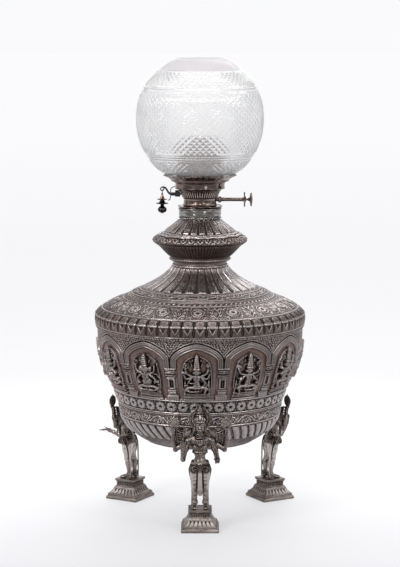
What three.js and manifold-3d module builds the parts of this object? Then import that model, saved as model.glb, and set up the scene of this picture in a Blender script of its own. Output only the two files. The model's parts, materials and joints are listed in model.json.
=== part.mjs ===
// Kerosene table lamp of embossed silvered copper, carried by three cast standing figures on stepped plinths.
// Millimetres, +Z up, origin on the floor under the lamp's axis. The front figure looks along -Y.
import * as THREE from "three";
import { mergeVertices } from "three/addons/utils/BufferGeometryUtils.js";
import Module from "manifold-3d";

const wasm = await Module();
wasm.setup();

// ---- driving dimensions ----
const FOOT_R = 137;          // plinth centre from the axis
const FOOT_ANGLES = { front: 0, left: -120, right: 120 }; // degrees about Z
const PLINTH_H = 34;         // height of a plinth
const PLINTH_HALF = 30;      // half its bottom side
const WALL = 1.6;            // sheet thickness of the embossed shells
const BOWL_TOP = 310.6;      // seam between bowl and shoulder
const SHAFT_Z = 513.6;       // height of the wick winder shafts
const COLLAR_R = 34.6;       // burner collar, outside
const TUBE_TOP = 584;        // top of the wick tubes
const GLOBE_Z = 549.4;       // underside of the globe's fitter rim
const LEVER_X = -36.5, LEVER_Z = 522.5; // pivot of the extinguisher lever
const EYE_X = -61.5, EYE_Z = 530.8;     // eye at the lever's outer end
const SEG = 32;              // facets round the big shells
const GAP = 0.3;             // air between pieces that touch

const mats = {
  embossed: new THREE.MeshStandardMaterial({ color: 0x6e625c, roughness: 0.42, metalness: 0.9 }),
  cast: new THREE.MeshStandardMaterial({ color: 0x7a7068, roughness: 0.3, metalness: 0.95 }),
  burner: new THREE.MeshStandardMaterial({ color: 0x5c4c44, roughness: 0.35, metalness: 0.95 }),
  steel: new THREE.MeshStandardMaterial({ color: 0x35373a, roughness: 0.35, metalness: 0.9 }),
  collar: new THREE.MeshStandardMaterial({ color: 0x8d8f88, roughness: 0.28, metalness: 0.95 }),
  tin: new THREE.MeshStandardMaterial({ color: 0x9a9a96, roughness: 0.5, metalness: 0.9 }),
  glass: new THREE.MeshStandardMaterial({ color: 0xeeeef4, roughness: 0.15, metalness: 0, transparent: true, opacity: 0.45 }),
  wick: new THREE.MeshStandardMaterial({ color: 0xd9cfb8, roughness: 0.95, metalness: 0 }),
};

// ---- helpers ----
const clean = (g) => {
  const n = g.index ? g.toNonIndexed() : g.clone();
  for (const k of Object.keys(n.attributes)) if (k !== "position") n.deleteAttribute(k);
  return mergeVertices(n, 1e-4);
};
// A closed three.js geometry as a solid, turned to face out.
function solid(g) {
  const m = clean(g);
  const tri = [];
  const idx = m.index.array;
  for (let i = 0; i < idx.length; i += 3)
    if (idx[i] !== idx[i + 1] && idx[i + 1] !== idx[i + 2] && idx[i] !== idx[i + 2]) tri.push(idx[i], idx[i + 1], idx[i + 2]);
  const build = (t) => new wasm.Manifold(new wasm.Mesh({ numProp: 3, vertProperties: m.attributes.position.array, triVerts: new Uint32Array(t) }));
  let s = build(tri);
  if (s.volume() < 0) {
    for (let i = 0; i < tri.length; i += 3) [tri[i + 1], tri[i + 2]] = [tri[i + 2], tri[i + 1]];
    s = build(tri);
  }
  return s;
}
function geometry(s, tolerance = 0) {
  const m = (tolerance ? s.simplify(tolerance) : s).getMesh();
  const v = new Float32Array(m.numVert * 3);
  for (let i = 0; i < m.numVert; i++) for (let k = 0; k < 3; k++) v[3 * i + k] = m.vertProperties[i * m.numProp + k];
  return new THREE.BufferGeometry().setAttribute("position", new THREE.BufferAttribute(v, 3)).setIndex(new THREE.BufferAttribute(new Uint32Array(m.triVerts), 1));
}
// Turns a closed profile of [radius, height] about Z.
function lathe(points, seg = SEG, start = 0) {
  const first = points[0], last = points[points.length - 1];
  const p = points.map(([r, z]) => new THREE.Vector2(r, z));
  if (!(first[0] === 0 && last[0] === 0)) p.push(new THREE.Vector2(first[0], first[1]));
  return new THREE.LatheGeometry(p, seg, start).rotateX(Math.PI / 2);
}
const turned = (points, seg, start) => solid(lathe(points, seg, start));
// A sheet shell: the outer profile, and the same moved in by the wall.
function shellOf(outer, wall = WALL, seg = SEG) {
  const inner = outer.map(([r, z], i) => {
    const a = outer[Math.max(0, i - 1)], b = outer[Math.min(outer.length - 1, i + 1)];
    let dr = b[0] - a[0], dz = b[1] - a[1];
    const l = Math.hypot(dr, dz) || 1;
    if (i === 0 && r === 0) return [0, z + wall];
    return [Math.max(0, r - (wall * dz) / l), z + (wall * dr) / l];
  });
  inner[inner.length - 1][1] = outer[outer.length - 1][1];
  if (outer[0][0] !== 0) inner[0][1] = outer[0][1];
  return turned([...outer, ...inner.reverse()], seg);
}
const move = (g, x, y, z) => g.translate(x, y, z);
const box = (x0, x1, y0, y1, z0, z1) => solid(new THREE.BoxGeometry(x1 - x0, y1 - y0, z1 - z0).translate((x0 + x1) / 2, (y0 + y1) / 2, (z0 + z1) / 2));
// A round rod between two points, with a radius at each end.
function rod(a, b, ra, rb = ra, seg = 8) {
  const A = new THREE.Vector3(...a), B = new THREE.Vector3(...b), d = B.clone().sub(A);
  const g = new THREE.CylinderGeometry(rb, ra, d.length(), seg);
  g.applyQuaternion(new THREE.Quaternion().setFromUnitVectors(new THREE.Vector3(0, 1, 0), d.clone().normalize()));
  return solid(g.translate((A.x + B.x) / 2, (A.y + B.y) / 2, (A.z + B.z) / 2));
}
const ball = (c, r, sx = 1, sy = 1, sz = 1, w = 9, h = 6) => solid(new THREE.SphereGeometry(r, w, h).scale(sx, sy, sz).translate(...c));
const torus = (R, r, rs = 6, ts = 14) => new THREE.TorusGeometry(R, r, rs, ts);
// A bent rod of round section through points.
function wire(points, r, steps = 40, sides = 8) {
  const curve = new THREE.CatmullRomCurve3(points.map((p) => new THREE.Vector3(...p)));
  const s = new THREE.Shape();
  for (let i = 0; i < sides; i++) {
    const t = (i / sides) * 2 * Math.PI;
    i ? s.lineTo(r * Math.cos(t), r * Math.sin(t)) : s.moveTo(r, 0);
  }
  s.closePath();
  return solid(new THREE.ExtrudeGeometry(s, { steps, extrudePath: curve, bevelEnabled: false }));
}
const join = (...s) => s.reduce((a, b) => a.add(b));

const lamp = new THREE.Group();
function put(name, s, mat, parent = lamp) {
  const m = new THREE.Mesh(s.isBufferGeometry ? s : geometry(s), mats[mat]);
  m.name = name;
  parent.add(m);
  return m;
}

// ---- embossed body ----
const bowlOuter = [[0, 109], [60, 111.5], [92, 119], [113, 133], [126, 149], [132.6, 166], [134.5, 180], [142.4, 205], [155.6, 227.6], [163, 254.6], [170, 279], [170.3, BOWL_TOP]];
let bowl = shellOf(bowlOuter);
for (const a of Object.values(FOOT_ANGLES)) {
  const t = THREE.MathUtils.degToRad(a);
  const hole = rod([0, -120, 166], [0, -145, 166], 3.4, 3.4, 12).rotate([0, 0, a]);
  bowl = bowl.subtract(hole);
}
put("lower_bowl", bowl, "embossed");
put("shoulder_cover", shellOf([[170.8, BOWL_TOP + GAP], [172.9, 322], [170.2, 331], [157.5, 341.6], [131, 353.6], [106.4, 365.6], [80, 377.8], [64.3, 386.6], [53.2, 395.6], [47.2, 404.6]]), "embossed");
put("neck_bead_ring", turned([[36, 405], [46.4, 405], [48.6, 408], [48.9, 412], [46.2, 415.2], [46.2, 417.4], [44, 417.4], [36, 417.4]], 32), "embossed");
put("neck_cup", shellOf([[47.4, 417.7], [49.2, 419.6], [52.8, 422.6], [58.6, 428.6], [62.8, 434.6], [66, 438.6], [70, 441.4]], WALL, 26), "embossed");
put("knop_rim", turned([[60, 441.8], [72, 441.8], [77.9, 443.8], [78.5, 449.6], [76.8, 453], [70.5, 455.6], [60, 455.6]], 32), "embossed");
put("neck_bell", shellOf([[68, 455.9], [62.5, 458.6], [56.6, 463], [48.7, 470.6], [41.1, 476.6], [36.2, 480.6], [33.6, 483]], WALL, 26), "embossed");

// ---- oil font and collar ----
put("oil_font", turned([[0, 152], [96, 152], [118, 170], [126, 200], [126, 284], [104, 306], [60, 330], [30.5, 352], [30.5, 483], [29.5, 483], [29.5, 351], [59.4, 328.9], [103.4, 304.9], [124.8, 283.4], [124.8, 200.4], [117.2, 171], [95.6, 153.2], [0, 153.2]], 32), "tin");
put("font_bracket_ring", turned([[128, 236], [155, 236], [155, 237.4], [128, 237.4]], 32), "tin");
put("burner_collar", turned([[29.4, 483.3], [33.4, 483.3], [34.2, 484.6], [33.2, 486.4], [34.6, 488], [34.6, 498], [35.6, 499.2], [35.6, 500.4], [29.4, 500.4]], 32), "collar");

// ---- three cast figures on stepped plinths, each held to the bowl by a stud and nut ----
const R2 = Math.SQRT2;
const plinthProfile = [[0, 0], [PLINTH_HALF * R2, 0], [PLINTH_HALF * R2, 3.4], [28.6 * R2, 5.6], [27.4 * R2, 6.4], [27.4 * R2, 9.2], [24 * R2, 11.4], [21.4 * R2, 14.6], [20.2 * R2, 17.6], [18.6 * R2, 20.8], [16.6 * R2, 22.6], [16.6 * R2, 28.8], [18.6 * R2, 31], [18.6 * R2, PLINTH_H], [0, PLINTH_H]];
function plinth() {
  return lathe(plinthProfile, 4, Math.PI / 4).translate(0, -FOOT_R, 0);
}
function figure() {
  const z0 = PLINTH_H + GAP, y = -FOOT_R;
  const parts = [];
  for (const s of [-1, 1]) {
    parts.push(box(s * 8.4 - 4.4, s * 8.4 + 4.4, y - 17, y + 9, z0, z0 + 4.6));      // foot
    parts.push(rod([s * 8.2, y + 4.5, z0 + 1], [s * 8.4, y + 2, 66], 4.6, 6.2));      // shin
    parts.push(rod([s * 8.4, y + 2, 65], [s * 8.4, y - 3, 99], 6.2, 7.6));            // thigh
  }
  parts.push(ball([0, y - 3.5, 100], 10, 1.62, 1.16, 1.05, 10, 6));                   // hips
  parts.push(rod([0, y - 4, 101], [0, y - 7, 124], 10.2, 10.6, 10));                  // waist
  parts.push(ball([0, y - 8, 134], 12, 1.24, 0.95, 1.2, 10, 7));                      // chest
  parts.push(rod([-19, y - 8, 144], [19, y - 8, 144], 5.6, 5.6));                     // shoulders
  parts.push(rod([0, y - 10, 146], [0, y - 12, 160], 5.4, 5.2));                      // neck
  parts.push(ball([0, y - 13, 168], 10.4, 0.94, 1.0, 1.22, 10, 7));                   // head
  parts.push(rod([0, y - 10.5, 171], [0, y - 6.5, 171], 18.6, 18.6, 16));             // halo
  parts.push(rod([0, y - 12, 178], [0, y - 10, 200], 9, 3.6, 10));                    // crown
  // front arms: the right hand raised, the left hand held out
  parts.push(rod([-19, y - 8, 144], [-27, y - 4, 113], 5.2, 4.4), ball([-27, y - 4, 112.6], 4.8), rod([-27, y - 4, 113], [-27, y - 15, 129], 4.3, 3), rod([-27, y - 14, 128], [-27.5, y - 24, 146], 4, 2.6));
  parts.push(rod([19, y - 8, 144], [28, y - 2, 112], 5.2, 4.4), ball([28, y - 2, 111.6], 4.8), rod([28, y - 2, 112], [27, y - 27, 119], 4.3, 3), rod([27, y - 26, 119], [27, y - 41, 114], 4, 2.4));
  // rear arms, raised, each with a round emblem
  for (const s of [-1, 1]) {
    parts.push(rod([s * 17, y - 5, 144], [s * 42, y - 2, 136], 5, 4.4), ball([s * 42, y - 2, 136], 4.6), rod([s * 42, y - 2, 136], [s * 41, y - 7, 165], 4.3, 3));
    parts.push(rod([s * 41, y - 10, 172], [s * 41, y - 5.5, 172], 10, 10, 12));
  }
  parts.push(rod([0, y - 11, 98], [0, y - 3, 55], 3, 2.4, 8));                        // sash end
  const back = box(-8, 8, y - 9, y + 1, 158, 174).subtract(box(-20, 20, -136, -100, 150, 180)); // lug against the bowl
  let s = join(...parts, back);
  s = s.subtract(turned(bowlOuter.concat([[0, BOWL_TOP]]).map(([r, z]) => [r && r + 0.6, z]), SEG));
  s = s.subtract(rod([0, -144.2, 166], [0, -130, 166], 3.3, 3.3, 12));
  return geometry(s, 0.6);
}
for (const [where, angle] of Object.entries(FOOT_ANGLES)) {
  const g = new THREE.Group();
  g.rotation.z = THREE.MathUtils.degToRad(angle);
  lamp.add(g);
  put(`plinth_${where}`, plinth(), "cast", g);
  put(`figure_${where}`, figure(), "cast", g);
  put(`stud_${where}`, geometry(rod([0, -143.9, 166], [0, -120, 166], 3, 3, 12)), "steel", g);
  const nut = new THREE.CylinderGeometry(6.2, 6.2, 5, 6).translate(0, -124.7, 0);
  const n = solid(nut.translate(0, 0, 166)).subtract(rod([0, -140, 166], [0, -110, 166], 3.3, 3.3, 12));
  put(`stud_nut_${where}`, geometry(n), "steel", g);
}

// ---- burner, fixed part ----
const tubeY = 10.2, tubeHalf = 20.6, tubeT = 2.8, tubeWall = 0.5;
let basePlate = turned([[0, 500.8], [36, 500.8], [36.4, 502.4], [35.2, 504], [0, 504]], 32);
for (const s of [-1, 1]) basePlate = basePlate.subtract(box(-tubeHalf - GAP, tubeHalf + GAP, s * tubeY - tubeT - GAP, s * tubeY + tubeT + GAP, 495, 510));
put("burner_base_plate", basePlate, "burner");
let cup = turned([[26.2, 504.3], [27.4, 504.3], [27.4, 516.8], [26.2, 516.8]], 32).subtract(rod([20, 0, SHAFT_Z], [34, 0, SHAFT_Z], 3.5, 3.5, 12));
put("burner_cup", cup, "burner");
let basket = turned([[26.6, 517.1], [28, 517.1], [34.8, 530], [33.4, 530]], 32).subtract(box(-40, -25, -2.7, 2.7, 512, 529));
put("air_basket", basket, "burner");
put("burner_drum", turned([[33.6, 530.3], [35.6, 530.3], [40.4, 532], [40.4, 541.6], [39.2, 541.6], [39.2, 533], [33.6, 531.6]], 32), "burner");
let gallery = turned([[33, 541.9], [43, 541.9], [51, 547.4], [60.4, 553.2], [59.8, 554.4], [50.2, 548.8], [42.6, 543.3], [33, 543.3]], 32);
put("globe_gallery", gallery, "burner");
let dome = turned([[38.6, 543.6], [38.8, 552], [38.2, 562], [36.4, 572], [33.2, 581], [28.6, 589], [22, 596], [12, 601.4], [0, 603], [0, 602], [11.8, 600.4], [21.5, 595.1], [27.8, 588.4], [32.3, 580.6], [35.4, 571.8], [37.2, 561.9], [37.8, 552], [37.6, 543.6]], 32);
for (const s of [-1, 1]) dome = dome.subtract(box(-22, 22, s * tubeY - 3.6, s * tubeY + 3.6, 575, 610));
put("flame_deflector", dome, "burner");
function wickTube(s) {
  const o = box(-tubeHalf, tubeHalf, s * tubeY - tubeT, s * tubeY + tubeT, 478, TUBE_TOP);
  const i = box(-tubeHalf + tubeWall, tubeHalf - tubeWall, s * tubeY - tubeT + tubeWall, s * tubeY + tubeT - tubeWall, 470, 600);
  let t = o.subtract(i);
  for (const x of [-10, 10]) t = t.subtract(box(x - 3, x + 3, s * tubeY - (s > 0 ? tubeT + 1 : -tubeT + 1.5), s * tubeY + (s > 0 ? -tubeT + 1.5 : tubeT + 1), SHAFT_Z - 5.4, SHAFT_Z + 5.4));
  return t;
}
put("wick_tube_front", wickTube(-1), "burner");
put("wick_tube_back", wickTube(1), "burner");
put("winder_bush", turned([[3.1, 0], [3.42, 0], [3.42, 2.2], [5.4, 2.2], [5.4, 3.6], [4.6, 4.4], [4.6, 7], [3.1, 7]], 20).rotate([0, 90, 0]).translate([27.8, 0, SHAFT_Z]), "burner");
let bracket = join(box(LEVER_X - 4, LEVER_X + 4.4, -4.6, -3, LEVER_Z - 4, LEVER_Z + 5), box(LEVER_X - 4, LEVER_X + 4.4, 3, 4.6, LEVER_Z - 4, LEVER_Z + 5), box(LEVER_X - 4, LEVER_X + 4.4, -4.6, 4.6, LEVER_Z + 4.6, LEVER_Z + 6));
bracket = bracket.subtract(rod([LEVER_X, -6, LEVER_Z], [LEVER_X, 6, LEVER_Z], 1.25, 1.25, 10)).subtract(turned([[0, 500], [28.3, 517.1], [35.1, 530], [35.1, 545], [0, 545]], 32));
put("lever_bracket", bracket, "steel");
put("lever_pin", rod([LEVER_X, -5.4, LEVER_Z], [LEVER_X, 5.4, LEVER_Z], 0.95, 0.95, 10), "steel");
put("stop_wire", wire([[-40.8, 3.9, 534.5], [-44.3, 3.9, 533.2], [-47.6, 4.4, 529.8], [-47.8, 5, 520], [-48.8, 4.4, 514.2], [-50.2, 3, 512.4], [-52, 2, 512.4]], 0.7, 28, 6), "steel");

// ---- wicks ----
for (const [name, s] of [["wick_front", -1], ["wick_back", 1]])
  put(name, box(-19.4, 19.4, s * tubeY - 1.9, s * tubeY + 1.9, 400, TUBE_TOP + 1.5), "wick");

// ---- concentric wick winders ----
const alongX = (s) => s.rotate([0, 90, 0]).translate([0, 0, SHAFT_Z]);
const wheel = (x) => {
  let w = turned([[0, -1], [5.6, -1], [5.6, 1], [0, 1]], 12);
  for (let i = 0; i < 8; i++) w = w.add(box(4.8, 7.5, -0.7, 0.7, -0.9, 0.9).rotate([0, 0, i * 45]));
  return w.translate([0, 0, x]);
};
// the outer winder: a tube with one spiked wheel, and its thin disc
const sleeve = alongX(turned([[1.95, 6], [3, 6], [3, 70.4], [1.95, 70.4]], 16).add(wheel(10).subtract(turned([[0, 5], [2.2, 5], [2.2, 15], [0, 15]], 16))));
put("winder_sleeve", sleeve, "burner");
put("winder_disc", alongX(turned([[1.95, 70.7], [4.4, 70.7], [5, 71.2], [11.4, 71.6], [12.1, 72.4], [11.4, 73.4], [5, 74], [1.95, 74.4]], 28)), "burner");
// the inner winder: a rod with the other spiked wheel, and its dished knob
const spindle = alongX(turned([[0, -20], [1.6, -20], [1.6, 78], [0, 78]], 14).add(wheel(-10)));
put("winder_spindle", spindle, "burner");
put("winder_knob", alongX(turned([[0, 78.3], [2.6, 78.3], [3, 79.2], [5, 80.4], [9.6, 81.4], [11.2, 82.6], [11.2, 83.6], [8, 85], [3, 85.6], [0, 85.6]], 28)), "burner");

// ---- extinguisher: lever, pull and hood ----
let lever = join(
  rod([LEVER_X, -2.3, LEVER_Z], [LEVER_X, 2.3, LEVER_Z], 3.2, 3.2, 14),
  rod([LEVER_X + 7, 0, LEVER_Z], [LEVER_X - 13, 0, LEVER_Z], 1.7, 2.2, 10),
  wire([[LEVER_X - 11, 0, LEVER_Z], [LEVER_X - 14.5, 0, LEVER_Z + 1.5], [LEVER_X - 18, 0, LEVER_Z + 6.5], [LEVER_X - 21, 0, LEVER_Z + 10.8], [LEVER_X - 25, 0, LEVER_Z + 11.2]], 1.5, 12, 8),
  solid(torus(2.7, 0.95).rotateX(Math.PI / 2).translate(EYE_X, 0, EYE_Z)),
);
lever = lever.subtract(rod([LEVER_X, -5, LEVER_Z], [LEVER_X, 5, LEVER_Z], 1.2, 1.2, 10));
put("extinguisher_lever", lever, "steel");
const pull = join(
  turned([[0, 491], [4.2, 492], [7, 495.2], [7.3, 497.8], [5.6, 501], [2.8, 502.8], [2.7, 505.2], [6, 506.4], [10.2, 507], [10.2, 507.8], [5, 509.4], [3.6, 512.6], [8, 513.6], [8, 514.4], [3.6, 515.8], [1.5, 521], [1, 524.6], [0, 524.6]], 20).translate([EYE_X, 0, 0]),
  solid(torus(2.7, 0.75).rotateY(Math.PI / 2).translate(EYE_X, 0, EYE_Z - 3.35)),
);
put("pull_finial", pull, "steel");
let hood = box(-22.4, 22.4, -14.6, 14.6, 556, 571).subtract(box(-21.6, 21.6, -13.8, 13.8, 550, 580));
put("extinguisher_hood", hood, "burner");

// ---- cut glass globe ----
const globeOuter = [[50.4, GLOBE_Z], [50.8, 551.6], [62.5, 558.6], [73.4, 568], [84.6, 582.7], [95, 602.1], [100.9, 621.6], [102.8, 643], [102.4, 655.6], [100.6, 670.2], [96.2, 684.7], [84.8, 704.2], [66, 723.3], [53.8, 732.9], [46, 737.6], [38.4, 740.8], [35, 742.6]];
put("globe", shellOf(globeOuter, 3, 32), "glass");

export default lamp;
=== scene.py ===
# Oil lamp on three cast figures. Metres in Blender, millimetres in the shape code. The CAD's frame: +Z up, front figure towards -Y.
import bpy, json, math
import numpy as np
from mathutils import Vector, Matrix


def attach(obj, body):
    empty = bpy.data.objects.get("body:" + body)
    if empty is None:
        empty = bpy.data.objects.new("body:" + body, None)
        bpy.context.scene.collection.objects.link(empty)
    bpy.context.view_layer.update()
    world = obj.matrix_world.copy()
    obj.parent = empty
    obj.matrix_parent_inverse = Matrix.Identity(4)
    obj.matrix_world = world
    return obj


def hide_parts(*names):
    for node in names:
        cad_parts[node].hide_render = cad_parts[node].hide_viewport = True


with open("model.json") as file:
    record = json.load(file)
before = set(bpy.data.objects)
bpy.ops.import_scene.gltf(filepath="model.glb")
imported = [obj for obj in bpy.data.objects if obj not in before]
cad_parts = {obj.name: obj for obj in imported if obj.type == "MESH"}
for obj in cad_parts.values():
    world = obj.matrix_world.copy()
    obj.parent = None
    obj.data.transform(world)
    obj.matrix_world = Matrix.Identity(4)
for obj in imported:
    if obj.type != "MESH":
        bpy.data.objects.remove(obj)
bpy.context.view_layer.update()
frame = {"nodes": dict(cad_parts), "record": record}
nodes = frame["nodes"]
scene = bpy.context.scene
PI = math.pi
FINE = 1.0      # mesh pitch multiplier while trying things

# ---------------------------------------------------------------- mesh helpers
def mesh_object(name, verts, faces, attrs=None, smooth=True, mat=None):
    """verts (n,3) in mm; faces: list of integer arrays (m,3) or (m,4)."""
    me = bpy.data.meshes.new(name)
    v = np.ascontiguousarray(verts, dtype=np.float32) * 0.001
    me.vertices.add(len(v))
    me.vertices.foreach_set("co", v.ravel())
    loops = np.concatenate([f.ravel() for f in faces]).astype(np.int32)
    totals = np.concatenate([np.full(len(f), f.shape[1], np.int32) for f in faces])
    starts = np.concatenate([[0], np.cumsum(totals)[:-1]]).astype(np.int32)
    me.loops.add(len(loops))
    me.loops.foreach_set("vertex_index", loops)
    me.polygons.add(len(totals))
    me.polygons.foreach_set("loop_start", starts)
    me.polygons.foreach_set("use_smooth", np.full(len(totals), smooth, bool))
    me.update(calc_edges=True)
    me.validate()
    for k, a in (attrs or {}).items():
        at = me.attributes.new(k, "FLOAT", "POINT")
        at.data.foreach_set("value", np.ascontiguousarray(a, dtype=np.float32))
    o = bpy.data.objects.new(name, me)
    scene.collection.objects.link(o)
    if mat:
        me.materials.append(mat)
    return o

def grid_quads(nu, nv, wrap=False, flip=False, off=0):
    iu = np.arange(nu if wrap else nu - 1)
    iv = np.arange(nv - 1)
    a, b = np.meshgrid(iu, iv, indexing="ij")
    c = (a + 1) % nu
    q = np.stack([a * nv + b, c * nv + b, c * nv + b + 1, a * nv + b + 1], -1).reshape(-1, 4) + off
    return q[:, ::-1] if flip else q

def smax(a, b, k):
    h = np.clip(0.5 + 0.5 * (a - b) / k, 0, 1)
    return b * (1 - h) + a * h + k * h * (1 - h)

def smin(a, b, k):
    return -smax(-a, -b, k)

def sstep(x, a, b):
    t = np.clip((x - a) / (b - a), 0, 1)
    return t * t * (3 - 2 * t)

def dome(q, p=0.5):
    return np.clip(1 - q, 0, 1) ** p

def hash01(i, k=0):
    return np.abs(np.sin(i * 12.9898 + k * 78.233) * 43758.5453) % 1.0

# ---------------------------------------------------------------- profile of the body, (radius, height) from top to bottom
class Prof:
    def __init__(self, pts, per=24):
        P = np.array(pts, float)
        d = np.hypot(*(P[1:] - P[:-1]).T)
        t = np.concatenate([[0], np.cumsum(d)])
        m = np.zeros_like(P)
        m[1:-1] = ((P[1:-1] - P[:-2]) / d[:-1, None] * d[1:, None] + (P[2:] - P[1:-1]) / d[1:, None] * d[:-1, None]) / (d[:-1] + d[1:])[:, None]
        m[0], m[-1] = (P[1] - P[0]) / d[0], (P[-1] - P[-2]) / d[-1]
        out = []
        for i in range(len(P) - 1):
            u = np.linspace(0, 1, per, endpoint=False)[:, None]
            h = d[i]
            out.append((2 * u**3 - 3 * u**2 + 1) * P[i] + (u**3 - 2 * u**2 + u) * h * m[i] + (-2 * u**3 + 3 * u**2) * P[i + 1] + (u**3 - u**2) * h * m[i + 1])
        out.append(P[-1:])
        self.p = np.concatenate(out)
        self.s = np.concatenate([[0], np.cumsum(np.hypot(*(self.p[1:] - self.p[:-1]).T))])
        self.L = self.s[-1]
        tg = np.gradient(self.p, axis=0)
        tg /= np.maximum(np.hypot(tg[:, 0], tg[:, 1]), 1e-9)[:, None]
        self.n = np.stack([-tg[:, 1], tg[:, 0]], 1)

    def at(self, s):
        return [np.interp(s, self.s, a) for a in (self.p[:, 0], self.p[:, 1], self.n[:, 0], self.n[:, 1])]

    def s_at_z(self, z):
        i = np.argmin(np.abs(self.p[:, 1] - z))
        return self.s[i]

def cavity(h, cell, passes=((2, 1.0), (5, 0.6))):
    """How far a height field lies below its surroundings, 0..1; it darkens the recesses, as patina and as painted
    shade.
    """
    out = np.zeros_like(h)
    for rad, w in passes:
        b = h.copy()
        for ax in (0, 1):
            for _ in range(2):
                acc = b.copy()
                n = 1
                for k in range(1, rad + 1):
                    if ax == 0:
                        acc += np.roll(b, k, 0) + np.roll(b, -k, 0)
                    else:
                        acc += np.concatenate([b[:, k:], np.repeat(b[:, -1:], k, 1)], 1) + np.concatenate([np.repeat(b[:, :1], k, 1), b[:, :-k]], 1)
                    n += 2
                b = acc / n
        out += w * (b - h)
    return out / cell

def band(name, prof, s0, s1, nu, height, pitch=0.7, thick=1.6, phi0=0.0, phi1=2 * PI, mat=None):
    """A relief band of the body: a closed sheet piece between two lengths along the profile.
    height(phi, s, r) gives mm outwards, or (mm, {attribute: values})."""
    pitch *= FINE
    wrap = abs(phi1 - phi0 - 2 * PI) < 1e-6
    nu = int(nu / FINE)
    nv = max(4, int(round((s1 - s0) / pitch)) + 1)
    phi = np.linspace(phi0, phi1, nu, endpoint=not wrap)
    s = np.linspace(s0, s1, nv)
    r, z, nr, nz = prof.at(s)
    m = 0 if wrap else 10                          # a margin, so that both sides of a joint agree
    dphi = phi[1] - phi[0]
    phe = phi if wrap else np.concatenate([phi[0] + dphi * np.arange(-m, 0), phi, phi[-1] + dphi * np.arange(1, m + 1)])
    PH, S = np.meshgrid(phe, s, indexing="ij")
    h = height(PH, S, np.broadcast_to(r, PH.shape))
    extra = {}
    if isinstance(h, tuple):
        h, extra = h
    # cav darkens the recesses: patina, and painted shade
    cav = np.clip(cavity(h, 1.0), -0.75, 2.0)
    R = r + h * nr
    Z = z + h * nz
    outer = np.stack([R * np.sin(PH), -R * np.cos(PH), Z], -1)
    nrm = None
    if not wrap:
        nrm = np.cross(np.gradient(outer, axis=1), np.gradient(outer, axis=0))
        nrm /= np.maximum(np.linalg.norm(nrm, axis=-1), 1e-9)[..., None]
        nrm = nrm[m:-m].reshape(-1, 3)
        PH, S, h, cav, outer = PH[m:-m], S[m:-m], h[m:-m], cav[m:-m], outer[m:-m]
        extra = {k: np.broadcast_to(a, (nu + 2 * m, nv))[m:-m] for k, a in extra.items()}
    outer = outer.reshape(-1, 3)
    k = np.unique(np.round(np.linspace(0, nv - 1, max(2, int((s1 - s0) / 8) + 1))).astype(int))
    ri, zi = r[k] - thick * nr[k], z[k] - thick * nz[k]
    n_in = len(k)
    Xi, Yi = ri * np.sin(PH[:, k]), -ri * np.cos(PH[:, k])
    inner = np.stack([Xi, Yi, np.broadcast_to(zi, Xi.shape)], -1).reshape(-1, 3)
    n0 = len(outer)
    faces = [grid_quads(nu, nv, wrap, flip=True), grid_quads(nu, n_in, wrap, flip=False, off=n0)]
    iu = np.arange(nu if wrap else nu - 1)
    ju = (iu + 1) % nu
    faces.append(np.stack([iu * nv, ju * nv, n0 + ju * n_in, n0 + iu * n_in], -1))
    faces.append(np.stack([iu * nv + nv - 1, ju * nv + nv - 1, n0 + ju * n_in + n_in - 1, n0 + iu * n_in + n_in - 1], -1)[:, ::-1])
    if not wrap:
        for side in (0, nu - 1):
            lo = side * nv + np.arange(nv)
            li = n0 + side * n_in + np.arange(n_in)
            tri = []
            for j in range(n_in - 1):
                for q in range(k[j], k[j + 1]):
                    tri.append((lo[q], lo[q + 1], li[j]))
                tri.append((lo[k[j + 1]], li[j + 1], li[j]))
            tri = np.array(tri)
            faces.append(tri if side == 0 else tri[:, ::-1])
    pad = np.zeros(len(inner))
    attrs = {"cav": np.concatenate([cav.ravel(), pad]), "hgt": np.concatenate([h.ravel(), pad])}
    for kk, a in extra.items():
        attrs[kk] = np.concatenate([np.broadcast_to(a, h.shape).ravel(), pad])
    o = mesh_object(name, np.concatenate([outer, inner]), faces, attrs, True, mat)
    if nrm is not None:                            # the same shading on both sides of a joint
        inn = np.stack([-np.sin(PH[:, k]), np.cos(PH[:, k]), np.zeros((nu, n_in))], -1).reshape(-1, 3)
        o.data.normals_split_custom_set_from_vertices(np.concatenate([nrm, inn]).tolist())
    return o


# ---------------------------------------------------------------- camera
CAM_D, CAM_H, CAM_TILT, CAM_F = 3.1, 0.8, 7.8, 1910.0
cam = bpy.data.cameras.new("camera")
cam.sensor_fit = "VERTICAL"
cam.sensor_height = 36.0
cam.lens = 36.0 * CAM_F / 567.0
cam.clip_start, cam.clip_end = 0.1, 50
cam_o = bpy.data.objects.new("camera", cam)
scene.collection.objects.link(cam_o)
cam_o.location = (0, -CAM_D, CAM_H)
cam_o.rotation_euler = (math.radians(90 - CAM_TILT), 0, 0)
scene.camera = cam_o


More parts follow.
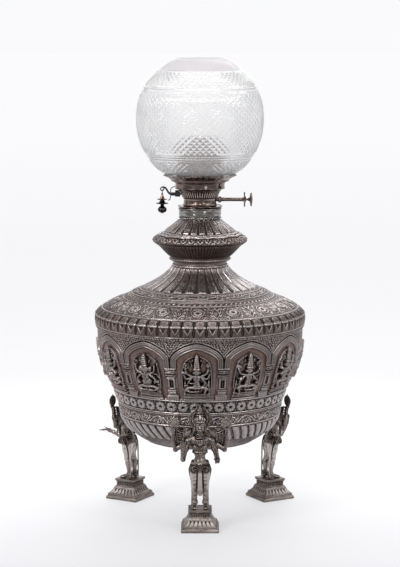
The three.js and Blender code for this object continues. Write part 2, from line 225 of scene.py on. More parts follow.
# ---------------------------------------------------------------- relief drawing on a flat patch: x right, y up, mm
class Relief:
    def __init__(self, X, Y, base=0.0):
        self.X, self.Y = X, Y
        self.h = np.full(X.shape, float(base))

    def _put(self, hh, k):
        self.h = smax(self.h, hh, k)

    def ell(self, cx, cy, rx, ry, rise, base=0.0, ang=0.0, k=0.35, p=0.55):
        c, s = math.cos(math.radians(ang)), math.sin(math.radians(ang))
        dx, dy = self.X - cx, self.Y - cy
        u, v = dx * c + dy * s, -dx * s + dy * c
        q = (u / rx) ** 2 + (v / ry) ** 2
        self._put(np.where(q < 1, base + rise * dome(q, p), -9.0), k)

    def cap(self, x0, y0, x1, y1, r0, r1, h0, h1, base=0.0, k=0.35, p=0.55):
        ax, ay = x1 - x0, y1 - y0
        L = max(ax * ax + ay * ay, 1e-6)
        t = np.clip(((self.X - x0) * ax + (self.Y - y0) * ay) / L, 0, 1)
        d2 = (self.X - x0 - t * ax) ** 2 + (self.Y - y0 - t * ay) ** 2
        r = r0 + (r1 - r0) * t
        q = d2 / r**2
        self._put(np.where(q < 1, base + (h0 + (h1 - h0) * t) * dome(q, p), -9.0), k)

    def path(self, pts, r, h, base=0.0, k=0.35, p=0.55):
        for i in range(len(pts) - 1):
            t0, t1 = i / (len(pts) - 1), (i + 1) / (len(pts) - 1)
            rr = (lambda t: r if not isinstance(r, tuple) else r[0] + (r[1] - r[0]) * t)
            hh = (lambda t: h if not isinstance(h, tuple) else h[0] + (h[1] - h[0]) * t)
            self.cap(*pts[i], *pts[i + 1], rr(t0), rr(t1), hh(t0), hh(t1), base, k, p)

    def arc(self, cx, cy, rad, a0, a1, w, rise, base=0.0, k=0.3, p=0.5):
        """A round moulding along an arc, angles in degrees, anticlockwise from +x."""
        ang = np.degrees(np.arctan2(self.Y - cy, self.X - cx)) % 360
        on = ((ang - a0) % 360) <= ((a1 - a0) % 360 if a1 - a0 < 360 else 360)
        q = ((np.hypot(self.X - cx, self.Y - cy) - rad) / w) ** 2
        self._put(np.where(on & (q < 1), base + rise * dome(q, p), -9.0), k)

    def rect(self, x0, x1, y0, y1, rise, edge=0.6, base=0.0, k=0.2):
        d = np.minimum(np.minimum(self.X - x0, x1 - self.X), np.minimum(self.Y - y0, y1 - self.Y))
        self._put(np.where(d > 0, base + rise * np.clip(d / edge, 0, 1) ** 0.6, -9.0), k)

    def cut(self, cx, cy, rx, ry, depth, ang=0.0):
        c, s = math.cos(math.radians(ang)), math.sin(math.radians(ang))
        dx, dy = self.X - cx, self.Y - cy
        u, v = dx * c + dy * s, -dx * s + dy * c
        q = (u / rx) ** 2 + (v / ry) ** 2
        self.h = self.h - depth * dome(q, 0.7)

    def groove(self, pts, w, depth):
        for (x0, y0), (x1, y1) in zip(pts[:-1], pts[1:]):
            ax, ay = x1 - x0, y1 - y0
            t = np.clip(((self.X - x0) * ax + (self.Y - y0) * ay) / max(ax * ax + ay * ay, 1e-6), 0, 1)
            q = ((self.X - x0 - t * ax) ** 2 + (self.Y - y0 - t * ay) ** 2) / w**2
            self.h = self.h - depth * dome(q, 0.8)

    def beads(self, pts, r, rise, base=0.0):
        for x, y in pts:
            self.ell(x, y, r, r, rise, base)


def curve_pts(pts, n=10):
    P = np.array(pts, float)
    out = []
    for i in range(len(P) - 1):
        p0, p1, p2, p3 = P[max(i - 1, 0)], P[i], P[i + 1], P[min(i + 2, len(P) - 1)]
        for t in np.linspace(0, 1, n, endpoint=False):
            out.append(tuple(0.5 * ((2 * p1) + (-p0 + p2) * t + (2 * p0 - 5 * p1 + 4 * p2 - p3) * t * t + (-p0 + 3 * p1 - 3 * p2 + p3) * t**3)))
    out.append(tuple(P[-1]))
    return out

def leaf(R, x, y, L, w, ang, rise, base=0.0, vein=0.35):
    c, s = math.cos(math.radians(ang)), math.sin(math.radians(ang))
    dx, dy = R.X - x, R.Y - y
    u, v = dx * c + dy * s, -dx * s + dy * c
    t = np.clip(u / L, 0, 1)
    half = w * np.sin(PI * np.clip(t, 0.02, 0.98) ** 0.75) + 0.01
    q = (v / half) ** 2
    on = (u > 0) & (u < L) & (q < 1)
    hh = base + rise * dome(q, 0.5) * (0.55 + 0.45 * np.sin(PI * t)) - vein * np.exp(-(v / 0.28) ** 2)
    R._put(np.where(on, hh, -9.0), 0.2)

def rosette(R, cx, cy, rad, rise, petals=8, base=0.0, ring=True):
    d = np.hypot(R.X - cx, R.Y - cy)
    a = np.arctan2(R.Y - cy, R.X - cx)
    if ring:
        R._put(np.where(d < rad * 1.02, base + rise * 0.85 * dome(((d - rad * 0.89) / (rad * 0.11)) ** 2, 0.5), -9.0), 0.15)
    pr = rad * (0.76 if ring else 1.0)
    k = np.abs(np.cos(a * petals / 2))
    mid, half = pr * 0.58, pr * (0.30 + 0.12 * k**0.8)
    q = ((d - mid) / half) ** 2
    R._put(np.where(q < 1, base + rise * dome(q, 0.5) * (0.72 + 0.28 * k**0.6), -9.0), 0.15)
    R.ell(cx, cy, pr * 0.24, pr * 0.24, rise * 0.55, base)
    R.cut(cx, cy, pr * 0.2, pr * 0.2, rise * 1.1)


# ---------------------------------------------------------------- seated deities of the arcade
def throne(R, w=21.5):
    R.rect(-w, w, -1.0, 2.4, 3.0, 0.6)
    R.rect(-w * 0.94, w * 0.94, 2.9, 5.6, 2.3, 0.5)
    R.rect(-w * 0.97, w * 0.97, 6.0, 7.8, 3.3, 0.5)
    R.rect(-w * 0.90, w * 0.90, 8.2, 10.4, 2.4, 0.5)
    R.rect(-w * 0.96, w * 0.96, 10.8, 12.6, 3.8, 0.5)
    for i in range(15):
        x = w * (-0.88 + i * 1.76 / 14)
        R.ell(x, 4.2, 0.95, 1.3, 1.1, 2.1)
        R.ell(x, 9.3, 0.7, 0.7, 0.9, 2.2)
    for sx in (-1, 1):                      # the posts under the two ends of the seat
        x = sx * 18.2
        R.rect(x - 2.1, x + 2.1, 12.6, 14.4, 3.2, 0.4)
        R.rect(x - 1.3, x + 1.3, 14.0, 20.4, 2.6, 0.4)
        R.ell(x, 17.0, 2.0, 1.3, 3.2)
        R.rect(x - 2.3, x + 2.3, 20.0, 21.6, 3.2, 0.4)

def face(R, x, y, s=1.0, top=3.8):
    R.ell(x, y, 4.0 * s, 5.0 * s, 3.6, top)
    for sx in (-1, 1):
        R.ell(x + sx * 4.7 * s, y - 1.4 * s, 1.2 * s, 2.4 * s, 2.3, top - 0.6)
        R.cut(x + sx * 1.7 * s, y + 0.9 * s, 1.1 * s, 0.6 * s, 0.9)
    R.ell(x, y + 0.1 * s, 0.75 * s, 1.9 * s, 1.0, top + 3.2)
    R.ell(x, y - 2.5 * s, 1.3 * s, 0.5 * s, 0.6, top + 2.8)

def crown(R, x, y, h=24.0, w=4.6, top=2.8, rows=6):
    """A tall mitre with rows of beads."""
    R.cap(x, y + 1.0, x, y + h * 0.74, w * 0.98, w * 0.66, 3.8, 3.0, top)
    R.rect(x - w * 1.14, x + w * 1.14, y - 0.9, y + 1.6, 4.2, 0.5, top)
    R.beads([(x + w * t, y + 0.4) for t in (-0.8, -0.4, 0.0, 0.4, 0.8)], 0.7, 1.0, top + 3.9)
    for j in range(rows):
        yy = y + 3.0 + j * (h * 0.7 / rows)
        ww = w * (1 - 0.34 * j / rows)
        R.groove([(x - ww, yy), (x + ww, yy)], 0.42, 1.0)
        R.beads([(x + ww * t, yy + h * 0.35 / rows) for t in (-0.62, 0.0, 0.62)], 0.85, 1.2, top + 2.7)
    R.ell(x, y + h * 0.83, w * 0.66, 1.4, 3.2, top)
    R.ell(x, y + h * 0.92, w * 0.40, 1.9, 2.8, top)

def elephant_head(R, x, y, top=3.8):
    R.ell(x, y + 1, 5.2, 5.6, 3.8, top)
    for sx in (-1, 1):
        R.ell(x + sx * 7.2, y + 0.5, 3.4, 5.2, 2.0, top - 1.4, -12 * sx)
        R.arc(x + sx * 7.2, y + 0.5, 2.3, 0, 360, 0.45, 0.6, top + 0.3)
        R.cap(x + sx * 2.6, y - 3.0, x + sx * 5.6, y - 5.8, 0.9, 0.5, 2.6, 1.8, top)
        R.cut(x + sx * 2.5, y + 1.2, 0.9, 0.6, 0.9)
    R.path(curve_pts([(x, y - 1), (x + 0.6, y - 5.5), (x + 0.2, y - 10), (x - 2.8, y - 13.2), (x - 5.2, y - 11.6)], 6), (2.1, 1.1), (3.6, 2.4), top + 0.4)
    for j in range(6):
        yy = y - 2.6 - j * 1.7
        R.groove([(x - 2.0, yy), (x + 2.2, yy)], 0.3, 0.6)

def torso(R, x0, y0, x1, y1, w=5.4, fat=0.0, top=2.4):
    xm, ym = (x0 + x1) / 2, (y0 + y1) / 2
    if fat:
        R.ell(x0, y0 + 3.6, w + fat, 6.6, 5.8, top)
        R.cap(x0, y0 + 5, x1, y1 - 1, w * 0.9 + fat * 0.4, w, 4.6, 4.6, top, k=0.7)
    else:
        R.cap(x0, y0, xm, ym, w * 0.98, w * 0.72, 4.2, 4.0, top, k=0.7)
        R.cap(xm, ym, x1, y1 - 1.5, w * 0.72, w * 1.02, 4.0, 4.6, top, k=0.7)
    R.ell(x1, y1, w * 1.5, 3.0, 4.2, top, k=0.6)
    for sx in (-1, 1):
        R.ell(x1 + sx * w * 0.46, y1 - 4.6, w * 0.42, 2.3, 1.5, top + 3.9)
    R.cut(x0, y0 + 4.6 + fat * 0.3, 0.9, 0.9, 1.0)
    R.path(curve_pts([(x1 + w * 0.8, y1 - 0.5), (x1 + w * 0.2, y1 - 7), (x0 - w * 0.5, y0 + 3.6)], 8), 0.45, 1.0, top + 4.0 + fat * 0.3, k=0.2)
    for rr, br in ((4.4, 0.6), (6.6, 0.75), (9.2, 0.55)):
        pts = [(x1 + rr * 0.7 * math.sin(t), y1 + 2.6 - rr * (1 - 0.25 * abs(t)) * math.cos(t)) for t in np.linspace(-1.2, 1.2, 13)]
        R.beads(pts, br, 1.2, top + 4.1)
    for dy, b in ((1.6, 0), (-0.2, 1), (-2.0, 0)):
        if b:
            R.beads([(x0 + w * t, y0 + dy) for t in np.linspace(-1, 1, 9)], 0.8, 1.4, top + 3.3)
        else:
            R.groove([(x0 - w, y0 + dy), (x0 + w, y0 + dy)], 0.45, 1.0)

def arm(R, pts, r=(1.9, 1.35), h=(3.6, 3.0), top=2.0, bangle=True):
    c = curve_pts(pts, 5)
    R.path(c, r, h, top, k=0.3)
    if bangle:
        for q, rr in ((0.8, 1.9), (0.62, 1.8), (0.26, 2.2)):
            i = int(len(c) * q)
            x, y = c[i]
            R.ell(x, y, rr, 0.8, 1.2, top + h[1] - 0.4, ang=math.degrees(math.atan2(c[i][1] - c[i - 1][1], c[i][0] - c[i - 1][0])) + 90)
    x, y = c[-1]
    R.ell(x, y, 1.7, 1.7, 3.0, top)

def attribute(R, kind, x, y, top=2.0, m=1):
    if kind == "wheel":
        R.arc(x, y, 3.9, 0, 360, 1.0, 3.0, top - 0.6)
        for a in range(0, 360, 45):
            R.cap(x, y, x + 3.7 * math.cos(math.radians(a)), y + 3.7 * math.sin(math.radians(a)), 0.5, 0.5, 2.4, 2.4, top - 0.6)
        R.ell(x, y, 1.2, 1.2, 3.2, top - 0.4)
    elif kind == "conch":
        R.ell(x, y, 2.7, 4.2, 3.4, top - 0.6, 20 * m)
        R.path(curve_pts([(x - 1.8 * m, y + 1.8), (x, y + 3.0), (x + 2.0 * m, y + 1)], 5), 0.5, 1.0, top + 2.0)
        R.groove([(x - 2 * m, y - 1), (x + 2 * m, y + 0.4)], 0.4, 1.0)
        R.groove([(x - 1.6 * m, y - 2.4), (x + 1.4 * m, y - 1.4)], 0.35, 0.9)
    elif kind == "lotus":
        for a in (-56, -28, 0, 28, 56):
            leaf(R, x, y - 2.5, 6.2, 1.4, 90 + a, 2.8, top - 0.6)
    elif kind == "club":
        R.cap(x, y - 7, x + 1.2 * m, y + 3, 0.8, 1.0, 2.4, 2.8, top - 0.6)
        R.ell(x + 1.6 * m, y + 5, 2.2, 2.8, 3.4, top - 0.6)
        R.groove([(x - 0.6, y + 5), (x + 3.8 * m, y + 5)], 0.4, 0.8)
    elif kind == "noose":
        R.arc(x, y, 3.2, 0, 360, 0.8, 2.6, top - 0.6)
        R.arc(x, y, 1.2, 0, 360, 0.5, 1.8, top - 0.6)
        R.cap(x, y - 3.4, x, y - 7, 0.8, 0.6, 2.4, 1.8, top - 0.6)
    elif kind == "trident":
        R.cap(x, y - 12, x, y + 6.5, 0.7, 0.6, 2.2, 2.4, top - 0.6)
        R.path(curve_pts([(x - 3, y + 6), (x - 2.4, y + 2.4), (x, y + 1), (x + 2.4, y + 2.4), (x + 3, y + 6)], 5), 0.6, 2.6, top - 0.6)
    elif kind == "bowl":
        R.ell(x, y, 3.0, 2.0, 3.6, top)
        R.ell(x, y + 1.2, 2.4, 0.9, 1.0, top + 2.8)

def legs_crossed(R, y=22.0, pendant=0, top=2.4):
    m = pendant if pendant else 1
    if pendant:      # one leg folded, one hanging to the base
        R.path(curve_pts([(1.5 * m, y + 4), (9 * m, y + 4.2), (13.5 * m, y + 2)], 6), (3.3, 2.7), (5.0, 4.4), top, k=0.4)
        R.path(curve_pts([(13.5 * m, y + 2), (11.8 * m, y - 4), (10.5 * m, y - 9)], 6), (2.5, 1.6), (4.4, 3.6), top, k=0.4)
        R.ell(12.2 * m, y - 10.4, 3.0, 1.3, 3.8, top, 10 * m)
        R.path(curve_pts([(-1.5 * m, y + 4), (-10 * m, y + 4), (-15.5 * m, y + 0.4)], 6), (3.3, 2.7), (5.0, 4.4), top, k=0.4)
        R.path(curve_pts([(-15.5 * m, y), (-8 * m, y - 3.0), (1 * m, y - 2.6)], 6), (2.4, 1.5), (4.2, 3.4), top + 0.8, k=0.3)
        R.ell(3.5 * m, y - 2.4, 2.4, 1.1, 3.4, top + 0.6, 12 * m)
    else:
        for s in (-1, 1):
            R.path(curve_pts([(1.5 * s, y + 4), (10.5 * s, y + 3.6), (16 * s, y + 0.6)], 6), (3.2, 2.6), (5.0, 4.4), top, k=0.4)
        for s, b in ((-1, 0.6), (1, 1.4)):
            R.path(curve_pts([(16 * s, y), (8 * s, y - 3.2), (-4 * s, y - 2.2)], 6), (2.2, 1.5), (4.0, 3.4), top + b, k=0.3)
            R.ell(-6.5 * s, y - 1.7, 2.4, 1.1, 3.2, top + b, 14 * s)
    for s in (-1, 1):     # folds of the cloth, knee and ankle bands
        for q in (0.25, 0.45, 0.65, 0.85):
            R.groove(curve_pts([(12.5 * s * q + 1.0 * s, y + 7.6), (12.5 * s * q + 2.4 * s, y + 3.8), (12.5 * s * q + 1.8 * s, y + 1.0)], 3), 0.36, 0.7)
        R.beads([(s * (14.8 + 0.5 * j), y + 3.6 - 1.2 * j) for j in range(4)], 0.75, 1.2, top + 3.2)
    R.path(curve_pts([(-1.8, y + 3.0), (-2.2, y - 3.5), (0, y - 6.4), (2.2, y - 3.5), (1.8, y + 3.0)], 5), 0.7, 2.2, top + 2.0, k=0.2)

def attendant(R, x, y, m, s=1.0):
    """A small worshipper standing or kneeling at the side."""
    R.cap(x, y + 1.0 * s, x, y + 8.0 * s, 2.6 * s, 2.0 * s, 3.4, 3.6)
    R.ell(x, y + 0.4 * s, 3.2 * s, 1.7 * s, 3.6)
    R.cap(x - 1.4 * m * s, y + 8.4 * s, x - 3.6 * m * s, y + 5.6 * s, 0.95 * s, 0.7 * s, 3.4, 3.2, 0.6)
    R.cap(x - 3.6 * m * s, y + 5.6 * s, x - 2.8 * m * s, y + 9.6 * s, 0.7 * s, 0.6 * s, 3.2, 3.0, 0.6)
    R.ell(x, y + 8.6 * s, 2.9 * s, 1.5 * s, 3.4, 0.4)
    R.ell(x, y + 12.4 * s, 2.0 * s, 2.5 * s, 3.4, 0.9)
    R.cap(x, y + 14.4 * s, x, y + 18.0 * s, 1.5 * s, 0.6 * s, 2.8, 1.9, 0.6)
    for dy in (2.4, 4.4, 6.2):
        R.groove([(x - 2.6 * s, y + dy * s), (x + 2.6 * s, y + (dy - 0.5) * s)], 0.32, 0.8)
    R.cut(x - 0.8 * s, y + 12.8 * s, 0.5, 0.4, 0.6); R.cut(x + 0.8 * s, y + 12.8 * s, 0.5, 0.4, 0.6)
    R.groove([(x - 1.5 * s, y + 14.6 * s), (x + 1.5 * s, y + 14.6 * s)], 0.3, 0.6)

def frame_arch(R, flames=True, y0=22.0, w=20.6):
    """Posts and a leafy arch behind the figure."""
    for s in (-1, 1):
        c = curve_pts([(s * w, y0), (s * (w + 0.6), 36), (s * w, 50), (s * (w - 1.2), 61), (s * (w - 4.4), 70), (s * (w - 10.6), 76), (s * 4.6, 78.6)], 6)
        R.path(c, (1.35, 1.0), (2.6, 2.2), 0.2, k=0.2)
        for j in range(1, len(c) - 1, 3):
            x, y = c[j]
            R.ell(x, y, 1.0, 1.0, 1.0, 2.2)
        if flames:
            for j in range(14, len(c) - 2, 3):
                (x0, y0_), (x1, y1_) = c[j - 1], c[j + 1]
                a = math.degrees(math.atan2(y1_ - y0_, x1 - x0)) + 90 * s
                leaf(R, c[j][0], c[j][1], 3.6, 1.1, a, 2.0, 0.2)

def scarf(R, s, pts, top=1.2):
    R.path(curve_pts(pts, 6), (1.05, 0.95), (2.8, 2.4), top, k=0.2)

def deity(R, v, m):
    throne(R)
    if v == 0:       # six arms, one leg hanging
        frame_arch(R)
        legs_crossed(R, 22, pendant=m)
        torso(R, 0, 29.5, 0, 46, 5.4)
        arm(R, [(-7 * m, 47), (-13 * m, 50.5), (-15.5 * m, 58)]); attribute(R, "wheel", -14.6 * m, 64)
        arm(R, [(7 * m, 47), (13 * m, 50.5), (15.5 * m, 58)]); attribute(R, "conch", 14.8 * m, 64, m=m)
        arm(R, [(-7.5 * m, 45), (-14 * m, 41.5), (-17.6 * m, 47.5)]); attribute(R, "lotus", -17.6 * m, 52)
        arm(R, [(7.5 * m, 45), (14 * m, 41.5), (17.6 * m, 47.5)]); attribute(R, "noose", 17.4 * m, 53)
        arm(R, [(-7 * m, 44), (-11.5 * m, 36), (-5 * m, 34)], top=3.0)
        arm(R, [(7 * m, 44), (11.5 * m, 35), (9.0 * m, 29)], top=3.0)
        face(R, 0, 53.4)
        crown(R, 0, 58.4, 25.5, 4.6)
        attendant(R, 17.0 * m, 22, m, 0.95)
        attendant(R, -17.0 * m, 22, -m, 0.85)
        scarf(R, 1, [(-5, 44), (-11, 38), (-13.6, 31), (-11.5, 27)]); scarf(R, 1, [(5, 44), (11, 39), (14.2, 32), (12.0, 27)])
        for sx in (-1, 1):
            leaf(R, sx * 6.0, 60, 9.5, 1.7, 90 - sx * 12, 2.2, 0.4)
            leaf(R, sx * 7.0, 70, 6.0, 1.4, 90 + sx * 24, 2.0, 0.4)
    elif v == 1:     # elephant-headed, round-bellied
        frame_arch(R, False)
        legs_crossed(R, 21, pendant=0)
        torso(R, 0, 29, 0, 46, 5.6, fat=3.0)
        arm(R, [(-7, 48), (-13.6, 51), (-15.2, 60)]); attribute(R, "noose", -14.8, 65)
        arm(R, [(7, 48), (13.6, 51), (15.2, 60)]); attribute(R, "club", 14.6, 64)
        arm(R, [(-7.5, 45), (-14.5, 38), (-13, 30.5)], top=3.0); attribute(R, "bowl", -12.6, 30, 3.2)
        arm(R, [(7.5, 45), (14.5, 38), (13, 31)], top=3.0); attribute(R, "lotus", 14.8, 33.5, 3.0)
        elephant_head(R, 0, 54)
        crown(R, 0, 60.6, 21, 4.4, rows=5)
        attendant(R, -17.8, 22, -1, 0.8)
        R.ell(15.5, 15.4, 3.6, 2.1, 3.8); R.ell(18.6, 17.0, 1.5, 1.5, 3.2)
        R.path(curve_pts([(12, 15.4), (9.4, 17.4), (8.0, 14.6)], 4), 0.55, 2.0)
        attendant(R, 18.0, 22, 1, 0.8)
        for sx in (-1, 1):
            scarf(R, 1, [(sx * 8, 47), (sx * 17, 46), (sx * 19.4, 40)])
            leaf(R, sx * 6.0, 64, 8.0, 1.6, 90 - sx * 16, 2.2, 0.4)
    elif v == 2:     # four arms, one raised in blessing
        frame_arch(R)
        legs_crossed(R, 22, pendant=-m)
        torso(R, 0.6 * m, 29.5, 0, 46, 5.2)
        arm(R, [(-7 * m, 47), (-13.4 * m, 49), (-16.5 * m, 57)]); attribute(R, "lotus", -16.2 * m, 61)
        arm(R, [(7 * m, 47), (13.4 * m, 49), (16.5 * m, 57)]); attribute(R, "wheel", 15.2 * m, 63)
        arm(R, [(-7 * m, 44), (-13 * m, 36), (-12.5 * m, 28.5)], top=3.0)
        arm(R, [(7 * m, 44), (12.5 * m, 37), (7.6 * m, 39.5)], top=3.6); R.ell(7.0 * m, 42.2, 1.4, 2.8, 3.4, 3.8, 10 * m)
        face(R, 0, 53.4)
        crown(R, 0, 58.4, 25, 4.8)
        attendant(R, 17.4, 22, 1, 0.9); attendant(R, -17.4, 22, -1, 0.9)
        scarf(R, 1, [(-5 * m, 44), (-15 * m, 40), (-18.6 * m, 45)]); scarf(R, 1, [(5 * m, 44), (15 * m, 41), (18.6 * m, 46)])
        for sx in (-1, 1):
            R.arc(0, 56, 9.6, 90 - 70 if sx > 0 else 90, 90 if sx > 0 else 160, 0.8, 2.0, 0.4)
            leaf(R, sx * 6.4, 66, 8.0, 1.5, 90 - sx * 8, 2.1, 0.4)
    else:            # four arms, playing a long-necked lute
        frame_arch(R, False)
        legs_crossed(R, 22, pendant=m)
        torso(R, 0, 29.5, 0, 46, 5.2)
        arm(R, [(-7 * m, 47), (-13.4 * m, 50), (-15.6 * m, 58)]); attribute(R, "conch", -15.2 * m, 63, m=-m)
        arm(R, [(7 * m, 47), (14 * m, 50), (16.4 * m, 58)]); attribute(R, "noose", 15.6 * m, 64)
        R.cap(-13 * m, 28, 15.5 * m, 50, 1.0, 0.8, 3.2, 2.8, 5.0)
        R.ell(-13.4 * m, 28, 4.4, 4.4, 4.6, 3.6); R.arc(-13.4 * m, 28, 2.9, 0, 360, 0.5, 0.9, 7.2)
        R.ell(14.6 * m, 49.4, 2.6, 2.6, 3.2, 4.6)
        arm(R, [(-7 * m, 44), (-13 * m, 38), (-8 * m, 33.5)], top=4.2)
        arm(R, [(7 * m, 44), (13.4 * m, 39), (8.6 * m, 43.5)], top=4.6)
        face(R, 0, 53.2)
        crown(R, 0, 58.2, 24, 4.5)
        attendant(R, -18.0 * m, 30, -m, 0.7)
        R.ell(16.6 * m, 25, 3.8, 4.2, 3.8)
        R.path(curve_pts([(16.4 * m, 28), (19.4 * m, 33), (17.0 * m, 38)], 6), (1.5, 1.0), (3.2, 2.8), 0.6)  # swan
        R.cap(17.0 * m, 38, 14.4 * m, 38.4, 1.1, 0.5, 2.8, 1.6, 0.8)
        for q in (22.6, 24.6, 26.6):
            R.groove([(13.4 * m, q), (19.6 * m, q + 1.0)], 0.34, 0.8)
        for sx in (-1, 1):
            leaf(R, sx * 6.2, 61, 9.0, 1.6, 90 - sx * 14, 2.2, 0.4)
            leaf(R, sx * 8.6, 70, 5.0, 1.3, 90 + sx * 30, 2.0, 0.4)

# ---------------------------------------------------------------- ornament of the body
def per(PH, n, phase=0.0):
    """Place within one of n repeats round the axis, -0.5..0.5, and its number. phase in degrees: centre of repeat 0."""
    q = (PH - math.radians(phase)) * n / (2 * PI) + 0.5
    k = np.floor(q)
    return q - k - 0.5, k.astype(int) % n

def ridge(S, s, w, rise):
    return rise * dome(((S - s) / w) ** 2, 0.5)

def hammer(PH, S, R, a=0.12):
    """Slight unevenness of hand-worked sheet."""
    y = S
    return a * (np.sin(46 * PH + 1.3 * np.sin(y * 0.23)) * np.sin(y * 0.37 + 0.9 * np.sin(28 * PH)) + 0.5 * np.sin(135 * PH + y * 0.4) * np.sin(y * 1.1 - 45 * PH))

def blur(a, n, times=2):
    """Box blur, the edges kept."""
    for _ in range(times):
        for ax_ in (0, 1):
            pad = np.concatenate([np.repeat(a.take([0], ax_), n, ax_), a, np.repeat(a.take([-1], ax_), n, ax_)], ax_)
            c = np.cumsum(np.concatenate([np.zeros_like(pad.take([0], ax_)), pad], ax_), ax_)
            k = 2 * n + 1
            L = a.shape[ax_]
            a = (c.take(range(k, k + L), ax_) - c.take(range(0, L), ax_)) / k
    return a

def foliage(X, Y, cell=4.3, rise=1.9, seed=0):
    """A close growth of small leaves, turned away from the axis X = 0 and different from cell to cell."""
    out = np.full(X.shape, -0.5)
    for j in range(-1, 2):
        for i in range(-1, 2):
            row = np.floor(Y / (cell * 0.82)) + j
            off = 0.5 * (np.abs(row) % 2)
            col = np.floor(X / cell - off) + i
            cx, cy = (col + off + 0.5) * cell, (row + 0.5) * cell * 0.82
            cx, cy = cx + (hash01(col * 3 + row * 7, 1 + seed) - 0.5) * 1.5, cy + (hash01(col * 5 + row * 3, 2 + seed) - 0.5) * 1.3
            ang = PI / 2 - np.sign(cx) * (0.35 + 0.9 * hash01(col + row * 11, 3 + seed)) + 0.5 * (hash01(col * 2 - row, 5 + seed) - 0.5)
            c, s = np.cos(ang), np.sin(ang)
            dx, dy = X - cx, Y - cy
            u, v = dx * c + dy * s, -dx * s + dy * c
            v = v - 0.12 * u * u * np.where(hash01(col - row, 4) > 0.5, 1.0, -1.0)
            k = cell / 4.3
            hw = 1.25 * k * (1 - 0.28 * u / k)
            q = (u / (2.7 * k)) ** 2 + (v / np.maximum(hw, 0.3)) ** 2
            out = np.maximum(out, np.where(q < 1, rise * dome(q, 0.5) - 0.26 * rise * np.exp(-(v / 0.25) ** 2) - 0.5 * 0, -9.0))
    return out

P_TOP = Prof([(31.4, 483.2), (33.2, 481.6), (36.2, 479.2), (41.1, 475.2), (48.7, 469.4), (56.6, 463.2), (61.5, 459.4), (67.0, 456.8), (72.6, 454.0), (76.4, 450.6), (77.6, 447.4), (76.6, 444.9), (72.8, 442.6), (68.0, 439.4), (64.3, 436.0), (60.1, 431.4), (55.8, 427.0), (51.4, 422.9), (48.7, 420.9), (48.3, 419.8), (49.8, 418.6), (49.9, 416.6), (48.4, 415.0), (44.6, 413.8), (42.8, 411.6), (42.4, 408.4), (42.4, 405.6)])
P_SH = Prof([(44.2, 409.4), (46.0, 405.0), (50.2, 398.6), (56.6, 392.6), (64.1, 386.6), (79.6, 377.4), (97.7, 368.8), (106.8, 364.8), (115.8, 360.4), (120.4, 357.6), (137.5, 350.1), (152.8, 342.6), (163.0, 336.2), (169.0, 330.6), (171.6, 325.3), (172.0, 319.5), (171.5, 313.6), (171.2, 310.9)])
P_BOWL = Prof([(170.5, 310.6), (170.3, 302.2), (169.8, 292.8), (169.2, 283.2), (167.4, 268.7), (165.4, 259.8), (161.9, 249.0), (158.0, 237.0), (154.2, 226.3), (149.4, 216.6), (144.2, 208.3), (140.4, 200.0), (137.7, 191.6), (135.8, 184.7), (134.6, 180.0), (133.6, 174.0), (132.7, 168.0), (130.6, 158.9), (126.4, 149.9), (118.6, 139.9), (109.3, 131.2), (98.0, 123.6), (84.0, 117.2), (66.0, 112.8), (40.0, 110.2), (6.0, 109.3)])

def scroll_line(X, Y, n_wave, amp, w):
    return np.exp(-((Y - amp * np.sin(X * n_wave)) / w) ** 2)

# the bell: tongues with a slit between each pair
def h_bell(PH, S, R):
    s1 = P_TOP.s_at_z(461.8)
    t = np.clip(S / s1, 0, 1)
    u, k = per(PH, 26, -3.5 + 13.846 / 2)
    w = 2 * PI * R / 26
    d = (0.5 - np.abs(u)) * w                    # distance to the slit
    on = sstep(S, 1.2, 3.2) * (1 - sstep(S, s1 - 3.0, s1 - 0.5))
    lobe = 1.15 * (1 - (2 * np.abs(u)) ** 3)
    gw = 0.8 + 1.0 * sstep(t, 0.25, 0.86)
    slit = 2.0 * np.exp(-(d / gw) ** 2)
    rim = 0.34 * np.exp(-((d - gw - 0.9) / 0.32) ** 2) + 0.18 * np.exp(-((d - gw - 2.2) / 0.26) ** 2)
    line = 0.07 * np.cos(u * w * 2 * PI / 1.25) * (np.abs(u) < 0.3)
    h = (lobe - slit + 0.8 * rim + line) * on
    h = h + ridge(S, 0.9, 0.9, 0.7) - 0.5 * sstep(S, 0, 1.0)
    # painted shade in the slits; a painted lift of brightness over the whole bell
    return h + hammer(PH, S, R, 0.06), {"ink": 0.62 * np.exp(-(d / (gw * 0.8)) ** 2) * on - 0.20}

